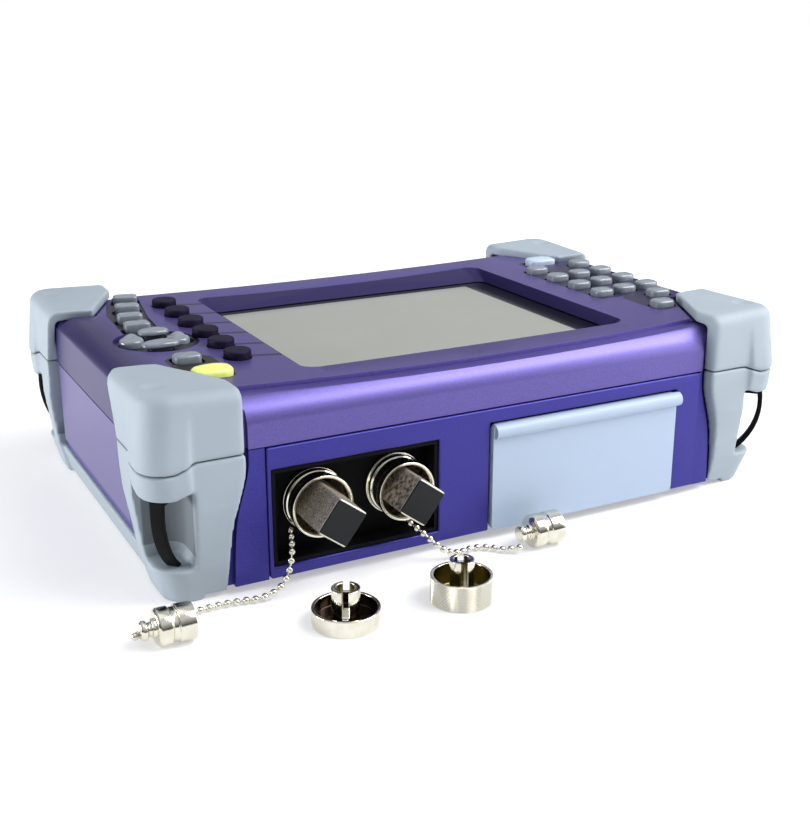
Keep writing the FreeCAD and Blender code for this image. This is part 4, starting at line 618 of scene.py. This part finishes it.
class ReflectometerColours(bpy.types.PropertyGroup):
    """Colours of the finishes, as sRGB hex."""
    case_dark: colour_text("Case, dark", "#29247a", "Darker flake of the case lacquer")
    case_light: colour_text("Case, light", "#312b88", "Lighter flake of the case lacquer")
    deck_dark: colour_text("Deck, dark", "#564c8e", "Darker flake of the deck lacquer")
    deck_light: colour_text("Deck, light", "#5f5497", "Lighter flake of the deck lacquer")
    door_dark: colour_text("Door, dark", "#5a5285", "Darker flake of the door's lacquer")
    door_light: colour_text("Door, light", "#61598d", "Lighter flake of the door's lacquer")
    guard_dark: colour_text("Guards, dark", "#8f9aa3", "Darker tone of the rubber guards")
    guard_light: colour_text("Guards, light", "#949fa8", "Lighter tone of the rubber guards")
    # painted shade inside the strap pockets
    pocket_shade: colour_text("Strap pockets", "#1c2321", "Inside of the strap pockets")
    cover: colour_text("Port cover", "#9babbf", "Lacquer of the port cover")
    # painted shade round the keys and on the sunk fields' floor
    key_field_shade: colour_text("Key field", "#211f2c", "Sunk fields round the keys")
    # painted shade on the display's sloping walls and on the deck's ends
    well_shade: colour_text("Display well", "#2a2158", "Sloping walls round the display")
    # the lead lines' engraved grooves, painted dark as shade
    line: colour_text("Lead lines", "#2a2150", "Lines from the softkeys to the display")
    panel_dark: colour_text("Panel, dark", "#8b8e86", "Darker tone of the display panel")
    panel_light: colour_text("Panel, light", "#8f9289", "Lighter tone of the display panel")
    border: colour_text("Display border", "#07070c", "Printed border of the display window")
    softkey: colour_text("Softkeys, dark", "#120d20", "Darker tone of the round keys")
    softkey_light: colour_text("Softkeys, light", "#1c152b", "Lighter tone of the round keys")
    grey_key: colour_text("Grey keys, dark", "#737a82", "Darker tone of the grey keys")
    grey_key_light: colour_text("Grey keys, light", "#7b828b", "Lighter tone of the grey keys")
    # the wide key's pale tone, partly its own and partly a painted highlight
    pale_key_and_glint: colour_text("Pale key, dark", "#a9b7cf", "Darker tone of the wide pale key")
    pale_key_and_glint_light: colour_text("Pale key, light", "#b3c0d6", "Lighter tone of the wide pale key")
    yellow_key: colour_text("Yellow key, dark", "#dbe676", "Darker tone of the yellow key")
    yellow_key_light: colour_text("Yellow key, light", "#e2ec82", "Lighter tone of the yellow key")
    nickel_dark: colour_text("Nickel, dark", "#d8d4c3", "Darker marks on the nickel plating")
    nickel: colour_text("Nickel", "#e2dfd0", "Plating of the port fittings")
    # painted shade inside the plain loose adapter
    cup_inside_shade: colour_text("Cup inside", "#4a3f38", "Inside of the plain loose adapter")
    brass_inside: colour_text("Cup inside, brass", "#a29868", "Inside of the knurled loose adapter")
    plug: colour_text("Plugs", "#0d0f11", "Rubber of the square dust plugs")
    # the sleeves' mottle, partly painted reflection and highlight
    sleeve_dark_reflection: colour_text("Sleeve, dark", "#5a5058", "Darker marks on the plugs' sleeves")
    sleeve_light_glint: colour_text("Sleeve, light", "#d2c8b0", "Lighter marks on the plugs' sleeves")
    black_dark: colour_text("Black plastic, dark", "#050506", "Darker tone of black mouldings")
    black_light: colour_text("Black plastic, light", "#08080a", "Lighter tone of black mouldings")
    frame_dark: colour_text("Display frame, dark", "#5a5d57", "Darker tone of its frame")
    frame_light: colour_text("Display frame, light", "#62655f", "Lighter tone of its frame")
    wrap_dark: colour_text("Battery, dark", "#17181a", "Darker tone of the battery's wrap")
    wrap_light: colour_text("Battery, light", "#1e1f22", "Lighter tone of the battery's wrap")
    metal_dark: colour_text("Inner metal, dark", "#a9abae", "Darker tone of the metal inside")
    metal_light: colour_text("Inner metal, light", "#b5b7ba", "Lighter tone of the metal inside")
    board_mask: colour_text("Board", "#1d4a2a", "Solder mask of the main board")
    board_land: colour_text("Board lands", "#b08d57", "Copper lands of the main board")
    paint_roughness: bpy.props.FloatProperty(name="Paint roughness", default=0.40, min=0.0, max=1.0,
                                             subtype="FACTOR", description="Gloss of the lacquer")


class ReflectometerSizes(bpy.types.PropertyGroup):
    """Sizes of the fine pieces."""
    bead: length("Bead", 0.0024, "Bead diameter")
    bead_pitch: length("Bead pitch", 0.0030, "Distance between beads along the chain")
    edge: length("Edge rounding", 0.0006, "Rounding of the painted parts' edges")
    rubber_grid: length("Rubber grid", 0.0007, "Grid of the guards' rounded surfaces")
    digit_crown: length("Digit crown", 0.00036, "Height of a digit key's crown above its rim")
    key_lift: length("Key lift", 0.0018, "How much prouder moulded keys stand than the plain ones")


def colours():
    return bpy.context.scene.reflectometer_colours


def sizes():
    return bpy.context.scene.reflectometer_sizes


MATERIALS = {}


def shared(name, maker, *args):
    """One material per finish, made on first use."""
    if name not in MATERIALS:
        MATERIALS[name] = maker(*args)
    return MATERIALS[name]


def nickel():
    c = colours()
    return shared("nickel", nickel_plate, "bright_nickel_plate", c.nickel_dark, c.nickel)[0]


def black_plastic():
    c = colours()
    return shared("black", dull_plastic, "black_moulded_abs", c.black_dark, c.black_light,
                  0.7, 0.12)


# ------------------------------------------------------------------ stage
class REFLECTOMETER_OT_stage(bpy.types.Operator):
    """Floor, world, lamps and camera"""
    bl_idname = "reflectometer.stage"
    bl_label = "Stage"

    def execute(self, context):
        scene = context.scene
        scene.view_settings.view_transform = "Standard"
        self.floor()
        self.world(scene)
        for lamp in LAMPS:
            self.lamp(scene, *lamp)
        self.camera(scene)
        return {"FINISHED"}

    def floor(self):
        """White paper: it glows to the camera and in reflections, and bounces a little light."""
        material = bpy.data.materials.new("white_paper_sweep")
        tree = cleared_tree(material)
        coords = add_node(tree, "ShaderNodeTexCoord")
        away = add_node(tree, "ShaderNodeVectorMath", operation="LENGTH",
                        links={0: coords.outputs["Object"]})
        rise = ramp(tree, away.outputs["Value"], *FLOOR_GLOW)
        glow = add_node(tree, "ShaderNodeEmission", values={"Color": WHITE},
                        links={"Strength": rise})
        shade = add_node(tree, "ShaderNodeBsdfDiffuse", values={"Color": PAPER_SHOWN})
        shown = add_node(tree, "ShaderNodeAddShader",
                         links={0: glow.outputs[0], 1: shade.outputs[0]})
        paper = add_node(tree, "ShaderNodeBsdfDiffuse", values={"Color": PAPER_THROWN})
        bounce = add_node(tree, "ShaderNodeEmission",
                          values={"Color": WHITE, "Strength": FLOOR_BOUNCE})
        thrown = add_node(tree, "ShaderNodeAddShader",
                          links={0: paper.outputs[0], 1: bounce.outputs[0]})
        path = add_node(tree, "ShaderNodeLightPath").outputs
        seen = chained(tree, "MAXIMUM", path["Is Camera Ray"], path["Is Glossy Ray"],
                       path["Is Transmission Ray"])
        mix = add_node(tree, "ShaderNodeMixShader",
                       links={0: seen, 1: thrown.outputs[0], 2: shown.outputs[0]})
        add_node(tree, "ShaderNodeOutputMaterial", links={"Surface": mix.outputs[0]})
        corners = np.array([(-1, -1, 0), (1, -1, 0), (1, 1, 0), (-1, 1, 0)]) * FLOOR_HALF
        floor = link_mesh("floor", corners, np.array([[0, 1, 2, 3]]), material, smooth=False)

    def world(self, scene):
        """A studio: bright overhead and in front, dim low down behind the object; white if seen."""
        world = bpy.data.worlds.new("studio")
        tree = cleared_tree(world)
        coords = add_node(tree, "ShaderNodeTexCoord")
        _, y, z = axes(tree, coords.outputs["Generated"])
        glow = maths(tree, "ADD", ramp(tree, z, *SKY_HEIGHT), ramp(tree, y, *SKY_FRONT))
        soft = add_node(tree, "ShaderNodeBackground", values={"Color": (0.93, 0.95, 1.0, 1.0)},
                        links={"Strength": glow})
        white = add_node(tree, "ShaderNodeBackground", values={"Color": WHITE, "Strength": 1.0})
        path = add_node(tree, "ShaderNodeLightPath").outputs
        seen = maths(tree, "MAXIMUM", path["Is Camera Ray"], path["Is Transmission Ray"])
        mix = add_node(tree, "ShaderNodeMixShader",
                       links={0: seen, 1: soft.outputs[0], 2: white.outputs[0]})
        add_node(tree, "ShaderNodeOutputWorld", links={"Surface": mix.outputs[0]})
        scene.world = world

    def lamp(self, scene, name, place, target, wide, high, power):
        data = bpy.data.lights.new(name, "AREA")
        data.shape = "RECTANGLE"
        data.size = wide
        data.size_y = high
        data.energy = power
        lamp = bpy.data.objects.new(name, data)
        lamp.location = place
        lamp.rotation_euler = (Vector(target) - Vector(place)).to_track_quat("-Z", "Y").to_euler()
        scene.collection.objects.link(lamp)

    def camera(self, scene):
        data = bpy.data.cameras.new("camera")
        data.sensor_fit = "HORIZONTAL"
        data.sensor_width = 36.0
        data.lens = CAMERA_LENS_MM
        data.clip_start = 0.01
        data.clip_end = 50.0
        camera = bpy.data.objects.new("camera", data)
        level = math.cos(CAMERA_TILT)
        ahead = Vector((math.sin(CAMERA_TURN) * level, math.cos(CAMERA_TURN) * level,
                        -math.sin(CAMERA_TILT)))
        camera.location = CAMERA_PLACE
        camera.rotation_euler = ahead.to_track_quat("-Z", "Y").to_euler()
        scene.collection.objects.link(camera)
        scene.camera = camera


# ------------------------------------------------------------------ chains
def chain_line(name, route):
    """The chain's centreline: a NURBS curve on its route points, and points read along it."""
    curve = bpy.data.curves.new(name + "_line", "CURVE")
    curve.dimensions = "3D"
    spline = curve.splines.new("NURBS")
    spline.points.add(len(route) - 1)
    flat = np.concatenate([np.array(route), np.ones((len(route), 1))], 1)
    spline.points.foreach_set("co", flat.ravel())
    spline.order_u = 3
    spline.use_endpoint_u = True
    spline.resolution_u = 24
    holder = bpy.data.objects.new(name + "_line", curve)
    bpy.context.scene.collection.objects.link(holder)
    bpy.context.view_layer.update()
    drawn = bpy.data.meshes.new_from_object(holder)
    points = np.zeros(len(drawn.vertices) * 3)
    drawn.vertices.foreach_get("co", points)
    bpy.data.objects.remove(holder)
    return points.reshape(-1, 3)


def along(points, distances):
    """Points at given distances along a line of points, and the line's length."""
    steps = np.linalg.norm(np.diff(points, axis=0), axis=1)
    run = np.concatenate([[0], np.cumsum(steps)])
    return np.stack([np.interp(distances, run, points[:, i]) for i in range(3)], 1), run[-1]


def bead_chain(name, route, material, bead, pitch):
    """Ball chain: beads a pitch apart on a thin wire, both following one line.

    A bead is a unit sphere's grid of (latitude, longitude) scaled to the bead's radius; the wire
    is a small ring carried along the same line."""
    line = chain_line(name, route)
    total = along(line, [0.0])[1]
    count = int((total - bead) / pitch) + 1
    places = along(line, np.linspace(bead / 2, total - bead / 2, count))[0]
    lat = np.linspace(-np.pi / 2, np.pi / 2, BEAD_ROWS)[:, None]
    lon = np.linspace(0, 2 * np.pi, BEAD_COLUMNS, endpoint=False)[None, :]
    unit = np.stack([np.cos(lat) * np.cos(lon), np.cos(lat) * np.sin(lon),
                     np.sin(lat) + 0 * lon], -1).reshape(-1, 3) * bead / 2
    beads = (places[:, None, :] + unit[None]).reshape(-1, 3)
    shift = (np.arange(count) * len(unit))[:, None, None]
    bead_faces = (grid_faces(BEAD_ROWS, BEAD_COLUMNS)[None] + shift).reshape(-1, 4)
    wire_line = along(line, np.linspace(0, total, count * 4))[0]
    ahead = np.gradient(wire_line, axis=0)
    ahead /= np.linalg.norm(ahead, axis=1)[:, None]
    # any direction that the chain never takes gives the wire's ring its side
    side = np.cross(ahead, np.array([0.13, 0.21, 0.97]))
    side /= np.linalg.norm(side, axis=1)[:, None]
    up = np.cross(side, ahead)
    angle = np.linspace(0, 2 * np.pi, WIRE_SIDES, endpoint=False)[None, :, None]
    ring = (np.cos(angle) * side[:, None] + np.sin(angle) * up[:, None]) * WIRE_RADIUS
    wire = (wire_line[:, None] + ring).reshape(-1, 3)
    wire_faces = grid_faces(len(wire_line), WIRE_SIDES) + len(beads)
    obj = link_mesh(name + "_beads", np.vstack([beads, wire]), np.vstack([bead_faces, wire_faces]),
                    material)
    tidy_mesh(obj)
    return obj, line, total


class REFLECTOMETER_OT_chains(bpy.types.Operator):
    """Bead chains, each with the dust cap at its end"""
    bl_idname = "reflectometer.chains"
    bl_label = "Chains"

    def execute(self, context):
        s = sizes()
        for side, route, cap_place in (("left", LEFT_ROUTE, (-133.5, -98.0, 5.9)),
                                       ("right", RIGHT_ROUTE, (1.5, -92.0, 5.9))):
            cap = fitting("chain_cap_" + side, "case", CAP_SECTION, cap_place, (1, 0, 0), nickel())
            node = "chain_" + side
            beads, line, total = bead_chain(node, route, nickel(), s.bead, s.bead_pitch)
            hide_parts(node)
            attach(beads, "case")
        return {"FINISHED"}


# ------------------------------------------------------------------ case
class REFLECTOMETER_OT_case(bpy.types.Operator):
    """Lacquer and edges of the case halves, fascia, battery door and port cover"""
    bl_idname = "reflectometer.case"
    bl_label = "Case"

    def execute(self, context):
        c = colours()
        gloss = c.paint_roughness
        body = case_paint("case_lacquer", c.case_dark, c.case_light, gloss)[0]
        assign(body, "bottom_housing", "module_fascia")
        assign(deck_paint(c), "top_housing")
        assign(case_paint("door_lacquer", c.door_dark, c.door_light, gloss)[0], "battery_door")
        assign(case_paint("cover_lacquer", c.cover, c.cover, 0.5, 0.0)[0], "port_cover")
        for name in ("bottom_housing", "module_fascia", "top_housing", "battery_door",
                     "port_cover"):
            softened(name, sizes().edge)
        return {"FINISHED"}


class REFLECTOMETER_OT_guards(bpy.types.Operator):
    """Soft corner caps, end guards and strap bars"""
    bl_idname = "reflectometer.guards"
    bl_label = "Guards"

    def execute(self, context):
        c = colours()
        rubber = elastomer("guard_elastomer", c.guard_dark, c.guard_light, 0.62, c.pocket_shade)
        for name in CORNER_CAPS + END_GUARDS:
            assign(rubber, name)
            moulded(name, sizes().rubber_grid)
        assign(black_plastic(), "strap_bars")
        softened("strap_bars", width=0.0006, segments=3)
        return {"FINISHED"}


class REFLECTOMETER_OT_display(bpy.types.Operator):
    """Display window and the frame behind it"""
    bl_idname = "reflectometer.display"
    bl_label = "Display"

    def execute(self, context):
        c = colours()
        assign(display_window(c), "display_lens")
        assign(dull_plastic("display_frame_plastic", c.frame_dark, c.frame_light), "display_module")
        return {"FINISHED"}


class REFLECTOMETER_OT_inside(bpy.types.Operator):
    """Finishes of what lies inside the case"""
    bl_idname = "reflectometer.inside"
    bl_label = "Inside"

    def execute(self, context):
        c = colours()
        assign(board_material(c), "main_board")
        assign(dull_plastic("battery_wrap", c.wrap_dark, c.wrap_light, 0.45), "battery_pack")
        assign(brushed_metal("brushed_aluminium_box", c.metal_dark, c.metal_light),
               "optical_module", "housing_screws")
        assign(black_plastic(), "connector_panel", "interface_panel")
        return {"FINISHED"}


# ------------------------------------------------------------------ keys
def rim_outline(half_a, half_b, power, count=56):
    """Superellipse |x/a|^n + |y/b|^n = 1 read at equal angles; a power of two gives an ellipse."""
    angle = np.linspace(0, 2 * np.pi, count, endpoint=False)
    return [half * np.sign(wave) * np.abs(wave) ** (2 / power)
            for half, wave in ((half_a, np.cos(angle)), (half_b, np.sin(angle)))]


def key_piece(node, half, power, crown, rim, material,
              turn=0.0, shift=0.0, lift=0.0, stem=0.0):
    """Moulded key: an upright skirt, a rounded rim and a crowned top.

    Rows run from the skirt's foot to the crown's middle; each row is the superellipse outline
    scaled inwards, and the height falls from the middle with the square of the scale. A stem
    share above nought draws the skirt in under a head that overhangs it. The turn is in degrees,
    the shift along the case."""
    low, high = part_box(node)
    foot = high[2] - KEY_SKIRT
    top = high[2] + sizes().key_lift + lift
    x, y = rim_outline(*half, power)
    if stem:
        under = high[2] - HEAD_UNDER
        rows = [(0.0, foot), (stem, foot), (stem, under), (HEAD_INSET, under),
                (1.0, under + HEAD_EDGE)]
    else:
        rows = [(0.0, foot), (1.0, foot)]
    rows.append((1.0, top - crown - rim))
    for t in np.linspace(0, np.pi / 2, RIM_ROWS)[1:]:
        rows.append((1 - rim / min(half) * (1 - math.cos(t)),
                     top - crown - rim * (1 - math.sin(t))))
    edge = rows[-1][0]
    for share in np.linspace(1, 0, CROWN_ROWS)[1:]:
        rows.append((edge * share, top - crown * share * share))
    rows = np.array(rows)
    wide = rows[:, 0:1] * x[None]
    deep = rows[:, 0:1] * y[None]
    c, s = math.cos(math.radians(turn)), math.sin(math.radians(turn))
    points = np.stack([(low[0] + high[0]) / 2 + shift + wide * c - deep * s,
                       (low[1] + high[1]) / 2 + wide * s + deep * c,
                       np.repeat(rows[:, 1:2], len(x), 1)], -1)
    obj = link_mesh(node + "_cap", points.reshape(-1, 3), grid_faces(len(points), len(x)), material)
    tidy_mesh(obj)
    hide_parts(node)
    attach(obj, node)


class REFLECTOMETER_OT_keys(bpy.types.Operator):
    """Every key as its own moulded piece"""
    bl_idname = "reflectometer.keys"
    bl_label = "Keys"

    def execute(self, context):
        c = colours()
        dark = gloss_rubber("softkey_silicone", c.softkey, c.softkey_light, 0.55, 0.15)
        grey = gloss_rubber("grey_key_silicone", c.grey_key, c.grey_key_light, 0.12, 0.8)
        # the wide key's pale tone is partly a painted highlight
        pale = gloss_rubber("pale_key_silicone", c.pale_key_and_glint, c.pale_key_and_glint_light, 0.3, 0.7)
        yellow = gloss_rubber("yellow_key_silicone", c.yellow_key, c.yellow_key_light, 0.3, 0.5)
        # each call gives a node, half sizes, outline power, crown, rim and finish, and some a turn,
        # shift, lift or stem share
        for node in SOFTKEYS:
            key_piece(node, (0.0047, 0.0047), 2.0, 0.0001, 0.0006, dark)
        for node, turn in zip(FUNCTION_KEYS, (-14, -11, -7, -3)):
            key_piece(node, (0.0047, 0.0029), 5.0, 0.0002, 0.0009, grey, turn=turn)
        for node, shift in (("nav_key_left", 0.0), ("nav_key_right", -0.0010)):
            key_piece(node, (0.0043, 0.0043), 2.0, 0.0016, 0.0014, grey,
                      shift=shift, lift=0.0002)
        for node, wide in (("nav_key_up", 0.0056), ("nav_key_down", 0.0066)):
            key_piece(node, (wide, 0.0033), 2.6, 0.0005, 0.0012, grey, stem=0.66)
        for node in DIGIT_KEYS:
            key_piece(node, (0.0045, 0.0036), 3.4, sizes().digit_crown, 0.0011, grey)
        key_piece("escape_key", (0.0047, 0.0032), 4.0, 0.0003, 0.0010, grey)
        key_piece("enter_key", (0.0066, 0.0045), 3.2, 0.0006, 0.0011, pale,
                  turn=-6, shift=0.0006, lift=0.0003)
        key_piece("start_key", (0.0069, 0.0046), 2.8, 0.0008, 0.0014, yellow,
                  shift=-0.0004, lift=0.0005)
        return {"FINISHED"}


# ------------------------------------------------------------------ ports
def plug_piece(node, centre_x, front, material):
    """Square dust plug: a superellipse bar from its back to its flat face, edges barely eased."""
    x, z = rim_outline(*PLUG_HALF, 14.0, 96)
    rows = np.array([(0.0, PLUG_BACK), (1.0, PLUG_BACK), (1.0, front + 0.0003),
                     (0.985, front + 0.0001), (0.96, front), (0.0, front)])
    wide = rows[:, 0:1] * x[None]
    high = rows[:, 0:1] * z[None]
    c, s = math.cos(PLUG_TURN), math.sin(PLUG_TURN)
    points = np.stack([centre_x + wide * c - high * s, np.repeat(rows[:, 1:2], len(x), 1),
                       PORT_HEIGHT + wide * s + high * c], -1)
    faces = grid_faces(len(points), len(x))
    obj = link_mesh(node + "_bar", points.reshape(-1, 3), faces, material, smooth=False)
    tidy_mesh(obj)
    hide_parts(node)
    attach(obj, node)


class REFLECTOMETER_OT_ports(bpy.types.Operator):
    """Port adapters, dust plugs and loose adapters"""
    bl_idname = "reflectometer.ports"
    bl_label = "Ports"

    def execute(self, context):
        self.adapters()
        self.plugs()
        self.cups()
        return {"FINISHED"}

    def adapters(self):
        """Screw rings: a thick rim, a waist and a thinner flange on the panel, in millimetres."""
        for node, x, bore, ring, front in (("adapter_left", -66.2, 9.4, 10.7, 80.1),
                                           ("adapter_right", -36.2, 9.0, 10.3, 81.5)):
            waist = ring - 0.7
            corners = [(bore, 66.1), (bore, front - 0.7), (bore + 0.5, front), (ring, front),
                       (ring, front - 2.6), (waist, front - 2.9), (waist, 74.4), (ring, 74.1),
                       (ring, 72.3), (10.9, 72.3), (10.9, 70.7), (9.9, 70.7), (9.9, 64.2),
                       (3.2, 64.2), (3.2, 58.7), (1.65, 58.7), (1.65, 66.1)]
            fitting(node, "case", corners, (x, 0, PORT_HEIGHT / MM), (0, -1, 0), nickel())

    def plugs(self):
        """Square plugs whose sides are plated and whose faces are black."""
        for node, x, front, tone_mm in (("dust_plug_left", -0.0662, -0.0951, 0.45),
                                        ("dust_plug_right", -0.0362, -0.0923, 1.3)):
            plug_piece(node, x, front, plug_rubber(node + "_finish", x, front, tone_mm))

    def cups(self):
        """Loose adapters, open end up: their slotted posts stay as built, finished and eased."""
        c = colours()
        for node, centre, radii, height, inside, knurled in (
                ("loose_adapter_plain", (-0.0731, -0.1110), (0.0097, 0.0046), 0.0053,
                 c.cup_inside_shade, False),
                ("loose_adapter_knurled", (-0.0341, -0.1142), (0.0091, 0.0041), 0.0085,
                 c.brass_inside, True)):
            assign(cup_nickel(node + "_finish", centre, radii, height, inside, knurled), node)
            softened(node, width=0.00025)


class REFLECTOMETER_PT_panel(bpy.types.Panel):
    """Lists the pieces and their settings"""
    bl_label = "Reflectometer"
    bl_idname = "REFLECTOMETER_PT_panel"
    bl_space_type = "VIEW_3D"
    bl_region_type = "UI"
    bl_category = "Reflectometer"

    def draw(self, context):
        for operator in OPERATORS:
            self.layout.operator(operator.bl_idname)
        for group in (colours(), sizes()):
            for key in group.__annotations__:
                self.layout.prop(group, key)


OPERATORS = (
    REFLECTOMETER_OT_stage,
    REFLECTOMETER_OT_chains,
    REFLECTOMETER_OT_case,
    REFLECTOMETER_OT_guards,
    REFLECTOMETER_OT_display,
    REFLECTOMETER_OT_inside,
    REFLECTOMETER_OT_keys,
    REFLECTOMETER_OT_ports,
)
CLASSES = (ReflectometerColours, ReflectometerSizes) + OPERATORS + (REFLECTOMETER_PT_panel,)


def register():
    for item in CLASSES:
        bpy.utils.register_class(item)
    bpy.types.Scene.reflectometer_colours = bpy.props.PointerProperty(type=ReflectometerColours)
    bpy.types.Scene.reflectometer_sizes = bpy.props.PointerProperty(type=ReflectometerSizes)


def unregister():
    del bpy.types.Scene.reflectometer_sizes
    del bpy.types.Scene.reflectometer_colours
    for item in reversed(CLASSES):
        bpy.utils.unregister_class(item)


def main():
    """Makes every piece in order."""
    register()
    for operator in OPERATORS:
        group, name = operator.bl_idname.split(".")
        getattr(getattr(bpy.ops, group), name)()


if __name__ == "__main__":
    main()
